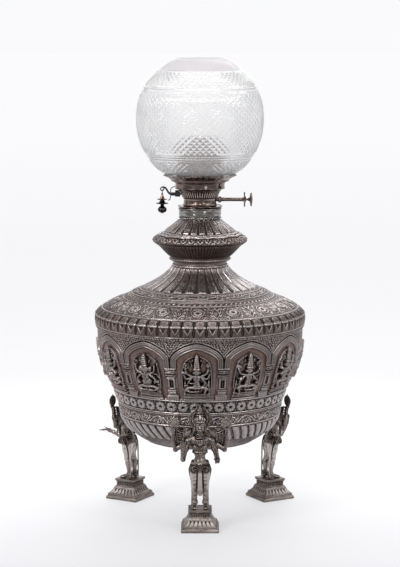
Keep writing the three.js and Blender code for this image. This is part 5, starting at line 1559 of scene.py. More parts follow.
def fig_head():
    S = Sdf((-21, -30, 150), (21, 6, 204), 0.36)
    hc = np.array((0, -13.2, 170.2))
    # skull, face
    S.ell(hc + (0, 1.6, 2.6), (8.7, 8.4, 8.8))
    S.ell(hc + (0, -0.8, -3.2), (7.4, 7.6, 8.4), k=2)
    S.ell(hc + (0, -5.6, -8.2), (3.3, 2.8, 2.4), k=1.6)                          # chin
    for s in (-1, 1):
        S.ell(hc + (s * 4.0, -5.2, -3.4), (2.8, 2.4, 3.0), k=1.6)               # cheeks
        S.ell(hc + (s * 5.2, -1.4, -6.6), (2.2, 3.4, 2.4), k=1.8)
    S.rc((0, -11.0, 152), (0, -12.4, 163), 5.3, 5.0, 1.5)                        # neck
    for z in (156.2, 159.0):
        S.tor((0, -11.8, z), (0, 0.12, 1), 5.3, 0.3, k=0.4, cut=True)
    # brow, sockets, eyelids
    for s in (-1, 1):
        S.ell(hc + (s * 3.3, -8.9, 0.2), (2.5, 1.4, 1.5), k=0.8, cut=True)
        S.ell(hc + (s * 3.3, -7.0, 0.0), (1.9, 1.5, 1.25), k=0.3)                # eyeball
        arc = [hc + (s * (3.3 + 2.1 * math.cos(t)), -7.9 - 0.35 * math.sin(t), 0.1 + 1.15 * math.sin(t)) for t in np.linspace(0.0, PI, 9)]
        S.chain(arc, 0.34, 0.2)                                                   # upper lid
        arc = [hc + (s * (3.3 + 2.1 * math.cos(t)), -7.8, -0.2 + 0.8 * math.sin(t)) for t in np.linspace(PI, 2 * PI, 8)]
        S.chain(arc, 0.28, 0.2)
        brow = [hc + (s * (1.2 + 4.9 * t), -8.6 + 1.9 * t * t, 2.5 + 1.3 * math.sin(PI * (0.2 + 0.65 * t))) for t in np.linspace(0, 1, 8)]
        S.chain(brow, (0.5, 0.34), 0.5)
    # nose
    S.rc(hc + (0, -8.4, 1.4), hc + (0, -10.6, -3.2), 0.75, 1.05, 0.8)
    for s in (-1, 1):
        S.ell(hc + (s * 1.35, -9.4, -3.6), (0.95, 1.2, 0.85), k=0.45)
    S.ell(hc + (0, -10.6, -3.5), (1.0, 1.0, 0.9), k=0.4)
    # mouth
    up = [hc + (x, -8.75 - 0.45 * math.cos(x * 0.8), -5.8 + 0.22 * math.cos(x * 2.2) + 0.05 * x * x) for x in np.linspace(-2.3, 2.3, 9)]
    lo = [hc + (x, -8.65 - 0.5 * math.cos(x * 0.8), -6.75 + 0.07 * x * x) for x in np.linspace(-1.8, 1.8, 8)]
    S.chain(up, 0.46, 0.4)
    S.chain(lo, 0.56, 0.4)
    S.chain([hc + (x, -9.3 - 0.3 * math.cos(x * 0.8), -6.25 + 0.08 * x * x) for x in np.linspace(-2.2, 2.2, 9)], 0.16, 0.2, cut=True)
    # ears with heavy rings
    for s in (-1, 1):
        S.ell(hc + (s * 8.4, -0.6, -0.6), (1.3, 2.0, 3.6), k=0.6)
        S.tor(hc + (s * 9.2, -1.4, -6.4), (1, -0.6 * s, 0), 2.5, 0.85, k=0.3)
        S.beads([hc + (s * 9.4, -1.8, -9.2), hc + (s * 8.9, -1.6, -3.4)], 1.15)
    S.ell(hc + (0, -8.4, 5.0), (0.7, 0.6, 0.9), k=0.2)                           # mark on the brow
    # diadem
    def hr(t, z, g):
        return hc + ((8.5 + g) * math.sin(t), 1.2 - (9.3 + g) * math.cos(t), z)
    S.chain([hr(t, 6.2, -0.3) for t in np.linspace(-2.0, 2.0, 27)], 0.75, 0.3)
    S.chain([hr(t, 9.4, -0.9) for t in np.linspace(-2.0, 2.0, 27)], 0.75, 0.3)
    S.beads([hr(t, 7.8, -0.4) for t in np.linspace(-1.9, 1.9, 17)], 0.95)
    for j, hgt in ((-2, 4.2), (-1, 5.4), (0, 7.6), (1, 5.4), (2, 4.2)):
        t = j * 0.52
        a, b = hr(t, 9.6, -0.4), hr(t, 9.6 + hgt, -2.4)
        S.rc(a, b, 2.0, 0.7, 0.4)
        S.beads([hr(t, 11.0, 0.6)], 1.0)
    # tall tiered crown
    cz = [(182.6, 8.0, 7.6), (186.8, 6.9, 6.6), (190.6, 5.8, 5.6), (194.0, 4.6, 4.5), (196.8, 3.4, 3.4)]
    for z, rx, ry in cz:
        S.ell((0, -11.0, z), (rx, ry, 2.7), k=0.7)
        n = max(8, int(rx * 2.4))
        S.beads([(rx * 0.99 * math.sin(t), -11.0 - ry * 0.99 * math.cos(t), z - 0.4) for t in np.linspace(-PI / 2 - 0.5, PI / 2 + 0.5, n)], 0.72)
    S.rc((0, -11, 180), (0, -11, 196), 7.0, 2.8, 1)
    S.ell((0, -11, 199.4), (2.0, 2.0, 2.4), k=0.5)
    S.rc((0, -11, 200), (0, -11, 202.4), 1.1, 0.45, 0.4)
    # the halo: dished plate, ring, petals, beads, flames
    c = np.array((0, -7.4, 179.4))
    S.disc(c + (0, 1.2, 0), (0, 1, 0), 17.4, 2.4, 0.9, 0.3)
    S.tor(c + (0, -0.2, 0), (0, 1, 0), 16.6, 1.0, k=0.35)
    S.tor(c + (0, -0.2, 0), (0, 1, 0), 13.0, 0.7, k=0.3)
    for j in range(36):
        a = 2 * PI * j / 36
        x, z = math.sin(a), math.cos(a)
        if z < -0.86:
            continue
        S.beads([c + (x * 14.8, -0.7, z * 14.8)], 1.05)
        S.rc(c + (x * 9.0, -0.2, z * 9.0), c + (x * 12.2, -0.4, z * 12.2), 0.75, 0.95, 0.25)
        S.rc(c + (x * 17.2, 0.6, z * 17.2), c + (x * 18.6, 0.8, z * 18.6), 0.95, 0.5, 0.3)
    S.rc(c + (0, 0.6, 17), c + (0, 0.6, 22.4), 2.6, 0.8, 0.5)
    # behind the halo: a boss that meets the stud
    S.rc((0, -5.5, 166), (0, 1.9, 166), 7.0, 6.4, 1.0)
    S.ell((0, -5.4, 176), (9, 2.0, 11), k=1.0)
    S.rc((0, -4, 152), (0, -5, 165), 7.0, 8.0, 2.0)
    S.rc((0, 10, 166), (0, -6.0, 166), 3.35, 3.35, 0.1, cut=True)
    clear_of_bowl(S)
    return S

def fig_hand_up():
    """The viewer's left front forearm, palm raised."""
    S = Sdf((-38, -33, 108), (-17, 2, 153), 0.42)
    el, wr = np.array((-27, -4.6, 113.6)), np.array((-27.2, -15.2, 129.6))
    S.rc(el, el * 0.5 + wr * 0.5 + (0, -0.6, 0), 4.2, 3.5)
    S.rc(el * 0.5 + wr * 0.5 + (0, -0.6, 0), wr, 3.5, 2.4, 1.2)
    for q, rr in ((0.72, 3.2), (0.82, 3.0), (0.92, 2.8)):
        S.tor(el + (wr - el) * q + (0, -0.3, 0), wr - el, rr, 0.6, k=0.3)
    T = rot_xyz(14)
    up, fw = T @ np.array((0, 0, 1.0)), T @ np.array((0, -1.0, 0))
    pc = wr + up * 4.8 + fw * 0.4
    S.box(pc, (3.9, 1.5, 4.4), 1.3, T, 1.0)
    S.ell(pc + up * -2.4 + fw * 0.9 + (-1.6, 0, 0), (1.8, 1.2, 2.4), T, 0.8)
    for j, (x, L) in enumerate(((-2.9, 7.0), (-1.0, 8.2), (0.95, 7.6), (2.75, 6.0))):
        b = pc + up * 3.6 + np.array((x, 0, 0))
        m = b + up * L * 0.5 + np.array((x * 0.03, 0, 0)) + fw * 0.1
        e = b + up * L + np.array((x * 0.08, 0, 0)) - fw * 0.3
        S.rc(b, m, 1.0, 0.95, 0.25)
        S.rc(m, e, 0.95, 0.75, 0.15)
    S.chain([pc + up * -2.6 + np.array((3.0, 0, 0)), pc + up * 0.2 + np.array((5.0, 0, 0)) + fw * 0.6, pc + up * 3.6 + np.array((5.7, 0, 0)) + fw * 0.9], (1.5, 0.85), 0.6)
    S.disc(pc + fw * 1.5 + up * 0.5, fw, 1.8, 0.7, 0.3, 0.2)                      # a flower in the palm
    S.d = np.maximum(S.d, -9.0)
    return S

def fig_hand_out():
    """The viewer's right front forearm, hand held out."""
    S = Sdf((17, -51, 101), (38, 2, 128), 0.42)
    el, wr = np.array((28, -3.2, 112.6)), np.array((27.2, -27.0, 119.2))
    S.rc(el, el * 0.5 + wr * 0.5 + (0, 0, 0.4), 4.2, 3.5)
    S.rc(el * 0.5 + wr * 0.5 + (0, 0, 0.4), wr, 3.5, 2.4, 1.2)
    for q, rr in ((0.76, 3.15), (0.84, 3.0), (0.92, 2.8)):
        S.tor(el + (wr - el) * q, wr - el, rr, 0.6, k=0.3)
    fw = np.array((0, -0.93, -0.16))
    fw /= np.linalg.norm(fw)
    T = rot_xyz(math.degrees(math.asin(0.17)))
    pc = wr + fw * 5.0
    S.box(pc, (3.9, 4.6, 1.5), 1.3, T, 1.0)
    S.ell(pc - fw * 2.2 + (-1.4, 0, 1.0), (1.9, 2.4, 1.2), T, 0.8)
    for x, L, dz in ((-2.9, 6.4, -0.9), (-1.0, 8.0, -0.5), (0.95, 7.6, -0.2), (2.75, 6.0, 0.1)):
        b = pc + fw * 3.8 + np.array((x, 0, 0))
        m = b + fw * L * 0.5 + np.array((x * 0.03, 0, 0.35))
        e = b + fw * L + np.array((x * 0.1, 0, dz))
        S.rc(b, m, 1.0, 0.95, 0.25)
        S.rc(m, e, 0.95, 0.75, 0.15)
    S.chain([pc - fw * 2.8 + np.array((-3.0, 0, 0.2)), pc + fw * 0.4 + np.array((-4.9, 0, 2.2)), pc + fw * 4.2 + np.array((-4.6, 0, 4.4))], (1.5, 0.85), 0.6)
    S.disc(pc + np.array((0, 0, 1.4)), (0, -0.17, 1), 2.0, 1.0, 0.3, 0.2)
    S.d = np.maximum(S.d, -9.0)
    return S

def fig_emblem(s):
    """Round lattice emblem held by a rear hand: a wheel on one side, a shell-like disc on the other."""
    cx = s * 41.2
    S = Sdf((cx - 11.5, -14, 155), (cx + 11.5, -2, 185), 0.38)
    c = np.array((cx, -7.8, 172.4))
    S.disc(c, (0, 1, 0), 8.3, 2.2, 0.7, 0.3)
    S.tor(c, (0, 1, 0), 8.0, 1.25, k=0.3)
    n = 16
    for j in range(n):
        a = 2 * PI * j / n
        S.beads([c + (8.1 * math.sin(a), -1.0, 8.1 * math.cos(a))], 0.75)
        S.rc(c + (8.9 * math.sin(a), 0, 8.9 * math.cos(a)), c + (9.8 * math.sin(a), 0, 9.8 * math.cos(a)), 0.7, 0.35, 0.2)
    for k_ in range(-3, 4):
        o = k_ * 2.1
        h_ = math.sqrt(max(0.0, 6.8**2 - o * o))
        for sg in (-1, 1):
            u, v = np.array((0.707, 0, 0.707 * sg)), np.array((-0.707 * sg, 0, 0.707))
            S.rc(c + v * o - u * h_ + (0, -1.2, 0), c + v * o + u * h_ + (0, -1.2, 0), 0.5, 0.5, 0.15)
            S.rc(c + v * o - u * h_ + (0, 1.2, 0), c + v * o + u * h_ + (0, 1.2, 0), 0.5, 0.5, 0.15)
    S.ell(c, (2.0, 2.2, 2.0), k=0.3)
    S.rc(c + (0, 0, 8.5), c + (0, 0, 11.6), 1.6, 0.5, 0.5)
    S.rc(c + (0, 0, -8.2), c + (0, 0.3, -13.0), 1.5, 1.1, 0.6)
    # fingers closed round the stem
    w = np.array((cx, -7.4, 161.6))
    S.ell(w, (3.1, 2.6, 3.2), k=0.8)
    for j in range(4):
        z = 163.8 - 1.35 * j
        S.chain([(cx - s * 2.6, -8.2, z), (cx - s * 1.4, -10.4, z + 0.2), (cx + s * 1.0, -10.3, z + 0.3), (cx + s * 2.2, -8.8, z + 0.2)], 0.78, 0.2)
    S.chain([(cx + s * 2.4, -8.0, 161), (cx + s * 2.8, -9.8, 163.6), (cx + s * 1.2, -10.6, 165.6)], (1.0, 0.7), 0.3)
    S.d = np.maximum(S.d, -9.0)
    return S

def rotz(V, deg):
    a = math.radians(deg)
    c, s = math.cos(a), math.sin(a)
    return np.stack([V[:, 0] * c - V[:, 1] * s, V[:, 0] * s + V[:, 1] * c, V[:, 2]], -1)

def figures():
    parts = [f.mesh() for f in (fig_body(), fig_head(), fig_hand_up(), fig_hand_out(), fig_emblem(-1), fig_emblem(1))]
    V, F, A, E, off = [], [], [], [], 0
    for v, f, a, e in parts:
        V.append(v)
        F.append(f + off)
        A.append(a)
        E.append(e)
        off += len(v)
    V, A, E = np.concatenate(V), np.concatenate(A), np.concatenate(E)
    z = V[:, 2]                                        # painted shadow of the bowl on the upper body, with tarnish; a darker belt; rubbed, lighter thighs; darker lower legs; a painted highlight on the face
    painted_light_and_wear = 0.20 * sstep(z, 104.0, 128.0) + 0.34 * sstep(z, 92.0, 96.0) * (1 - sstep(z, 106.0, 110.0)) - 0.16 * sstep(z, 60.0, 68.0) * (1 - sstep(z, 90.0, 94.0)) + 0.12 * (1 - sstep(z, 44.0, 58.0)) - 0.14 * sstep(z, 158.0, 164.0) * (np.abs(V[:, 0]) < 11) * (V[:, 1] < -17)
    V = V + (0, -FOOT_R, 0)
    for where, ang in FEET:
        # cav is patina and painted shade in the hollows; the deepest hollows get more painted shade, added to the marks
        # above
        o = mesh_object("figure_%s_cast" % where, rotz(V, ang), F, {"cav": A * 0.72, "hgt": E * 3.0, "ink": np.clip(A - 0.7, 0, 1) * 0.6 + painted_light_and_wear}, True, M["cast"])
        piece(o, "stand", "figure_%s" % where)
figures()

# ---------------------------------------------------------------- stepped plinths with chased sides
def plinths():
    prof = [(30.0, 0.0), (30.0, 3.4), (28.6, 5.6), (27.4, 6.4), (27.4, 9.2), (24.0, 11.4), (21.4, 14.6), (20.2, 17.6), (18.6, 20.8), (16.6, 22.6), (16.6, 28.8), (18.6, 31.0), (18.6, 34.0)]
    # round every edge a little, then sample
    P = [np.array(prof[0])]
    for i in range(1, len(prof) - 1):
        a, b, c = (np.array(q, float) for q in prof[i - 1:i + 2])
        r = min(0.45, 0.35 * np.linalg.norm(b - a), 0.35 * np.linalg.norm(c - b))
        p0, p1 = b + (a - b) / np.linalg.norm(a - b) * r, b + (c - b) / np.linalg.norm(c - b) * r
        for t in (0, 0.33, 0.67, 1):
            P.append((1 - t) ** 2 * p0 + 2 * t * (1 - t) * b + t * t * p1)
    P.append(np.array((18.6, 33.6)))
    P.append(np.array((18.4, 34.0)))
    P = np.array(P)
    P[0] = (29.6, 0.0)
    P = np.insert(P, 1, [[30.0, 0.4]], 0)
    d = np.concatenate([[0], np.cumsum(np.hypot(*(P[1:] - P[:-1]).T))])
    pitch = 0.5 * FINE
    s = np.unique(np.concatenate([d, np.arange(0, d[-1], pitch)]))
    s = s[np.concatenate([[True], np.diff(s) > 0.08])]
    a, z = np.interp(s, d, P[:, 0]), np.interp(s, d, P[:, 1])
    ta, tz = np.gradient(a, s), np.gradient(z, s)
    L = np.hypot(ta, tz)
    na, nz = tz / L, -ta / L                      # outward normal in the side's plane
    n_side = int(112 / FINE)
    t = np.linspace(-1, 1, n_side)
    U, Sg = np.meshgrid(t, s, indexing="ij")
    Aa, Zz = np.broadcast_to(a, U.shape), np.broadcast_to(z, U.shape)
    X = U * Aa
    h = np.zeros_like(U)
    ink = np.zeros_like(U)
    def zone(z0, z1, e=0.5):
        return sstep(Zz, z0, z0 + e) * (1 - sstep(Zz, z1 - e, z1))
    # leaf row on the long slope, beads on the ledge, panels on the block, petals under the cap
    # the darkening marks below are painted shade between the leaves, around the beads, between the petals and outside
    # the rings
    w = zone(9.6, 17.2, 0.8) * sstep(1 - np.abs(U), 0.02, 0.05)
    n = 7
    ph = (U * n / 2 + 0.5) % 1.0 - 0.5
    yy = (Zz - 9.6) / 7.6
    pw = 0.46 * np.sqrt(np.clip(1 - (np.clip(yy, 0, 1)) ** 2, 0, 1)) + 0.02
    leafy = 0.95 * dome((ph / np.maximum(pw, 0.05)) ** 2, 0.5) * sstep(yy, 0.0, 0.12)
    leafy = leafy - 0.35 * np.exp(-(ph / 0.05) ** 2) * (yy < 0.75) - 0.22 * (np.cos(yy * 22 + np.abs(ph) * 18) > 0.5) * (np.abs(ph) < pw * 0.8)
    h += w * (leafy - 0.25)
    ink += w * np.clip(0.35 - leafy, 0, 1) * 0.9
    w = zone(6.5, 9.2, 0.4)
    ph = (U * 13 + 0.5) % 1.0 - 0.5
    q = (ph / 0.42) ** 2 + ((Zz - 7.9) / 1.15) ** 2
    h += w * (0.6 * dome(q, 0.5) - 0.12)
    ink += w * (q > 1) * 0.35
    w = zone(0.5, 3.3, 0.3)
    h += w * 0.12 * np.cos(U * 60)
    w = zone(17.8, 21.4, 0.5)
    ph = (U * 9 + 0.5) % 1.0 - 0.5
    h += w * (0.5 * dome((ph / 0.4) ** 2, 0.5) - 0.15)
    ink += w * (np.abs(ph) > 0.4) * 0.4
    w = zone(23.0, 28.6, 0.4)
    ph = (U * 4.5 + 0.5) % 1.0 - 0.5
    q = (ph / 0.36) ** 2 + ((Zz - 25.8) / 2.1) ** 2
    ring = 0.8 * dome(((np.sqrt(q) - 0.75) / 0.26) ** 2, 0.5)
    h += w * (ring + 0.6 * dome(q / 0.12, 0.5) - 0.25)
    ink += w * (ring < 0.05) * 0.45
    w = zone(29.4, 31.4, 0.3)
    h += w * 0.35 * np.cos(U * PI * 14)
    h += 0.10 * np.sin(U * 7.3 + Zz * 0.9) * np.sin(Zz * 1.7 + U * 3.1) + 0.05 * np.sin(X * 2.9 + Zz * 2.2)
    h *= sstep(1 - np.abs(U), 0.0, 0.03)
    c = 0.7
    e = np.clip(np.abs(X) - (Aa - c), 0, c)          # rounded corner: pull in near the edge
    pull = c - np.sqrt(np.maximum(c * c - e * e, 0))
    out = Aa + h * na - 0.5 * pull
    zz = np.maximum(Zz + h * nz, 0.0)
    xx = np.sign(X) * np.minimum(np.abs(X), Aa - 0.29 * e)
    # cav: patina and painted shade where the sides sink
    cav = np.clip(-(h - 0.2) * 1.2, 0, 1)
    nu, nv = U.shape
    V, F, C, I, H, off = [], [], [], [], [], 0
    for k in range(4):
        side = np.stack([xx, -out, zz], -1).reshape(-1, 3)
        V.append(rotz(side, 90 * k))
        F.append(grid_quads(nu, nv, flip=False) + off)
        off += nu * nv
        C.append(cav.ravel()); I.append(ink.ravel()); H.append(h.ravel())
    V = np.concatenate(V)
    # join the sides at the corners
    for k in range(4):
        i0, i1 = k * nu * nv + (nu - 1) * nv, ((k + 1) % 4) * nu * nv
        j = np.arange(nv - 1)
        F.append(np.stack([i0 + j, i1 + j, i1 + j + 1, i0 + j + 1], -1))
    # top and bottom
    ring = np.concatenate([k * nu * nv + np.arange(nu) * nv for k in range(4)])
    n = len(ring)
    cb, ct = len(V), len(V) + 1
    V = np.concatenate([V, [[0, 0, 0.0], [0, 0, 34.0]]])
    nx = np.roll(ring, -1)
    F.append(np.stack([np.full(n, cb), nx, ring], -1))
    F.append(np.stack([np.full(n, ct), ring + nv - 1, nx + nv - 1], -1))
    z2 = np.zeros(2)
    cav, ink, hh = (np.concatenate(q + [z2]) for q in (C, I, H))
    V = V + (0, -FOOT_R, 0)
    for where, ang in FEET:
        o = mesh_object("plinth_%s_cast" % where, rotz(V, ang), F, {"cav": cav, "ink": ink + 0.02, "hgt": hh * 2.0, "grd": 1.0 + 0 * hh}, True, M["cast"])
        o.data.set_sharp_from_angle(angle=math.radians(38))
        piece(o, "stand", "plinth_%s" % where)
plinths()

# ---------------------------------------------------------------- cut glass globe: real facets, clear grooves, a ground cap
P_GLOBE = Prof([(35.0, 742.6), (38.4, 740.8), (46, 737.6), (53.8, 732.9), (66, 723.3), (76.4, 713.6), (84.8, 704.2), (91.2, 694.6), (96.2, 684.7), (100.6, 670.2), (102.4, 655.6), (102.8, 643), (102.3, 632.0), (100.9, 621.6), (98.6, 612.0), (95, 602.1), (90.4, 592.2), (84.6, 582.7), (79.4, 575.2), (73.4, 568), (62.5, 558.6), (50.8, 551.6), (50.4, 549.4)])

def zip_rings(ia, pa, ib, pb):
    """Triangles between two closed rings of points given by index and angle."""
    tri, na, nb, i, j = [], len(ia), len(ib), 0, 0
    while i < na or j < nb:
        a_next = pa[(i + 1) % na] + (2 * PI if i + 1 >= na else 0)
        b_next = pb[(j + 1) % nb] + (2 * PI if j + 1 >= nb else 0)
        if j >= nb or (i < na and a_next <= b_next):
            tri.append((ia[i % na], ia[(i + 1) % na], ib[j % nb]))
            i += 1
        else:
            tri.append((ia[i % na], ib[(j + 1) % nb], ib[j % nb]))
            j += 1
    return np.array(tri)

def globe():
    V, F, smooth, frost = [], [], [], []
    count = [0]
    def ring(phi, s, h, fr):
        r, z, nr, nz = P_GLOBE.at(s)
        R, Z = r + h * nr, z + h * nz
        V.append(np.stack([R * np.sin(phi), -R * np.cos(phi), np.broadcast_to(Z, phi.shape)], -1))
        frost.append(np.full(len(phi), fr))
        i = np.arange(count[0], count[0] + len(phi))
        count[0] += len(phi)
        return i, phi
    def add(f, sm):
        F.append(f)
        smooth.append(np.full(len(f), sm))
    def quad(a, b, sm=True):
        n = len(a[0])
        k = np.arange(n)
        k2 = (k + 1) % n
        add(np.stack([a[0][k], b[0][k], b[0][k2], a[0][k2]], -1), sm)
    NP = 180
    full = np.arange(NP) * 2 * PI / NP
    prev = None
    def plain(stops, n=NP):
        """stops: (s, height, frost) rows of smooth glass."""
        nonlocal prev
        for s, h, fr in stops:
            cur = ring(full, s, np.float64(h), fr)
            if prev is not None:
                if len(prev[0]) == NP:
                    quad(prev, cur)
                else:
                    add(zip_rings(prev[0], prev[1], cur[0], cur[1])[:, ::-1], True)
            prev = cur
    def diamonds(s0, s1, n, rows, rise, dip=-0.35, phase=0.0, frost_v=0.0, sub=1):
        nonlocal prev
        rows_s = np.linspace(s0, s1, rows + 1)
        grid = []
        for j, s in enumerate(rows_s):
            i = np.arange(2 * n)
            phi = (i + 0.0) * PI / n + phase
            apex = (i + j) % 2 == 0
            edge = j == 0 or j == rows
            h = np.where(apex, rise * (0.35 if edge else 1.0), dip) if not edge else np.where(apex, dip + 0.0, dip)
            grid.append((ring(phi, s, h, frost_v), apex))
        first = grid[0][0]
        if prev is not None:
            add(zip_rings(prev[0], prev[1], first[0], first[1])[:, ::-1], True)
        for j in range(rows):
            (a, pa), apex_a = grid[j]
            (b, pb), _ = grid[j + 1]
            k = np.arange(2 * n)
            k2 = (k + 1) % (2 * n)
            up = apex_a[k]
            # the cut runs corner to corner, so each cell splits along the line that joins two apexes' foot
            q1 = np.stack([a[k], b[k], a[k2]], -1)
            q2 = np.stack([b[k], b[k2], a[k2]], -1)
            q3 = np.stack([a[k], b[k], b[k2]], -1)
            q4 = np.stack([a[k], b[k2], a[k2]], -1)
            # apex at a[k] and b[k2]: valley joins b[k] and a[k2]
            add(np.where(up[:, None], q1, q3), False)
            add(np.where(up[:, None], q2, q4), False)
        prev = grid[-1][0]
    L = P_GLOBE.L
    rows = [(0.0, -0.7, 1), (0.25, -0.25, 1), (0.7, 0.0, 1)] + [(s, 0.0, 1) for s in np.arange(2.0, 36.0, 1.7)] + [(36.2, 0.0, 1), (36.6, 0.05, 1), (36.9, -0.35, 0), (37.3, -0.4, 0)]
    plain(rows)
    diamonds(37.5, 70.6, 54, 7, 0.85, phase=0.02)
    plain([(70.9, -0.3, 0), (71.4, -1.0, 0), (72.0, -1.15, 0), (72.6, -0.6, 0), (73.3, 0.35, 0), (74.2, 0.75, 0), (75.1, 0.45, 0), (75.9, -0.5, 0), (76.6, -1.15, 0), (77.3, -1.0, 0), (78.0, -0.2, 0), (78.9, 0.6, 0), (79.8, 0.75, 0), (80.9, 0.3, 0), (81.9, -0.2, 0)])
    diamonds(82.3, 184.0, 60, 21, 0.88)
    plain([(184.5, -0.2, 0), (185.3, 0.4, 0), (186.2, 0.3, 0), (187.0, -0.9, 0), (187.8, -1.15, 0), (188.6, -0.4, 0), (189.6, 0.5, 0), (190.6, 0.5, 0), (191.6, -0.5, 0), (192.5, -1.15, 0), (193.3, -0.9, 0), (194.2, 0.1, 0), (195.2, 0.3, 0), (195.8, -0.2, 0)])
    diamonds(196.2, 222.0, 50, 6, 0.95, phase=0.03)
    plain([(222.4, -0.2, 0), (223.5, 0.0, 0)] + [(s, 0.0, 0) for s in np.arange(225.5, L - 1.0, 1.9)] + [(L - 0.4, -0.05, 0), (L, -0.5, 0)])
    # the inner wall, bottom to top
    for s in np.concatenate([[L], np.arange(L - 2, 1.5, -3.0), [0.6, 0.0]]):
        thick = 3.0 if 1.5 < s < L - 1 else 2.5
        cur = ring(full, s, np.float64(-thick), 1.0 if s < 36.5 else 0.0)
        quad(prev, cur)
        prev = cur
    n = len(prev[0])
    # back to the first ring
    k = np.arange(NP)
    add(np.stack([prev[0][k], k, (k + 1) % NP, prev[0][(k + 1) % NP]], -1), True)
    V, frost = np.concatenate(V), np.concatenate(frost)
    tris = [(f, s) for f, s in zip(F, smooth)]
    o = mesh_object("cut_glass_globe", V, [f for f, _ in tris], {"frost": frost}, True, M["glass"])
    sm = np.concatenate([s for _, s in tris])
    if len(o.data.polygons) == len(sm):
        o.data.polygons.foreach_set("use_smooth", sm)
        o.data.update()
    piece(o, "globe_body", "globe")
globe()

# ---------------------------------------------------------------- turned pieces of the burner
def rounded(pts, rad, closed=True, n=3):
    """A closed outline with its corners rounded. Points are (a, b) or (a, b, own radius)."""
    out, m = [], len(pts)
    for i in range(m):
        b = np.array(pts[i][:2], float)
        own = pts[i][2] if len(pts[i]) > 2 else rad
        if not closed and i in (0, m - 1):
            out.append(b)
            continue
        a, c = np.array(pts[i - 1][:2], float), np.array(pts[(i + 1) % m][:2], float)
        la, lc = np.linalg.norm(a - b), np.linalg.norm(c - b)
        r = min(own, 0.45 * la, 0.45 * lc)
        if r < 0.02:
            out.append(b)
            continue
        p0, p1 = b + (a - b) / la * r, b + (c - b) / lc * r
        for t in np.linspace(0, 1, n + 1):
            out.append((1 - t) ** 2 * p0 + 2 * t * (1 - t) * b + t * t * p1)
    return np.array(out)

def refine(P, step):
    out = []
    m = len(P)
    for i in range(m):
        a, b = P[i], P[(i + 1) % m]
        k = max(1, int(np.linalg.norm(b - a) / step))
        out += [a + (b - a) * j / k for j in range(k)]
    return np.array(out)

def turn(name, pts, body, node, slot, rad=0.25, n=96, step=1.2, axis="Z", at=(0, 0, 0), warp=None, mask=None, cavity_of=None, sharp=40, mat=None):
    """Turns a closed outline of (radius, height), clockwise or not, about an axis.
    warp(phi, r, z) returns r, z and attributes; mask is not used."""
    P = refine(rounded(pts, rad), step * FINE)
    area = 0.5 * np.sum(P[:, 0] * np.roll(P[:, 1], -1) - np.roll(P[:, 0], -1) * P[:, 1])
    if area < 0:
        P = P[::-1]
    n = max(24, int(n / FINE))
    phi = np.arange(n) * 2 * PI / n
    PH, R = np.meshgrid(phi, P[:, 0], indexing="ij")
    Z = np.broadcast_to(P[:, 1], PH.shape)
    attrs = {}
    if warp:
        R, Z, attrs = warp(PH, R, Z)
    V = np.stack([R * np.sin(PH), -R * np.cos(PH), Z], -1).reshape(-1, 3)
    m = len(P)
    i, j = np.meshgrid(np.arange(n), np.arange(m), indexing="ij")
    i2, j2 = (i + 1) % n, (j + 1) % m
    F = np.stack([i * m + j, i2 * m + j, i2 * m + j2, i * m + j2], -1).reshape(-1, 4)
    axis_pts = P[:, 0] < 1e-4
    both = (axis_pts[j] & axis_pts[j2]).ravel()
    F = F[~both]
    if axis_pts.any():                        # weld the points on the axis
        first = np.arange(m)
        idx = np.where(axis_pts[None, :], first[None, :], np.arange(n * m).reshape(n, m)).ravel()
        F = idx[F]
    tri = []
    quad = []
    dup = np.stack([F[:, k] == F[:, (k + 1) % 4] for k in range(4)], -1)
    q = F[~dup.any(1)]
    t = F[dup.any(1)]
    if len(t):
        t3 = []
        for f in t:
            u = [int(f[0])]
            for x in f[1:]:
                if int(x) != u[-1]:
                    u.append(int(x))
            if u[0] == u[-1]:
                u = u[:-1]
            if len(u) == 3:
                t3.append(u)
        tri = [np.array(t3)] if t3 else []
    fl = [q] + tri
    used = np.zeros(len(V), bool)
    for f in fl:
        used[f.ravel()] = True
    remap = np.cumsum(used) - 1
    V = V[used]
    fl = [remap[f] for f in fl]
    attrs = {k: np.broadcast_to(a, PH.shape).ravel()[used] for k, a in attrs.items()}
    if axis == "X":
        V = np.stack([V[:, 2], V[:, 1], -V[:, 0]], -1)
    elif axis == "Y":
        V = np.stack([V[:, 0], V[:, 2], -V[:, 1]], -1)
    V = V + np.array(at, float)
    o = mesh_object(name, V, fl, attrs, True, mat or M[slot])
    o.data.set_sharp_from_angle(angle=math.radians(sharp))
    return piece(o, body, node) if body else o

# profile order: outward faces follow from the sign of the outline, (r, z) anticlockwise
turn("font_steady_ring", [(128.0, 236.0), (148.5, 236.0), (148.5, 237.4), (128.0, 237.4)], "stand", "font_bracket_ring", "tin", 0.3, 96, 6.0)
def collar_warp(PH, R, Z):
    outer = R > 32.6
    h = np.zeros_like(R)
    w = outer * sstep(Z, 483.4, 484.4) * (1 - sstep(Z, 485.6, 486.4))
    h += w * 0.5 * np.cos(PH * 60)
    dent = outer * (Z > 488.5) * (Z < 498)
    h += dent * (0.10 * np.sin(PH * 5 + 1) * np.sin(Z * 0.5) + 0.05 * np.sin(PH * 17 + Z))
    w2 = outer * sstep(Z, 498.4, 499.0) * (1 - sstep(Z, 500.1, 500.4))
    h += w2 * 0.18 * np.cos(PH * 90)
    # painted shade in the grooves beside the bead rings and on the inner faces, with a mottled tarnish over the band
    ink = outer * (0.5 * np.exp(-((Z - 487.0) / 0.6) ** 2) + 0.35 * np.exp(-((Z - 498.2) / 0.45) ** 2)) + (~outer) * 0.2
    return R + h, Z, {"cav": np.clip(-h * 2, 0, 1), "ink": ink + outer * 0.14 * np.sin(PH * 4 + 0.7) * np.sin(Z * 0.9 + PH * 7), "hgt": h * 4}
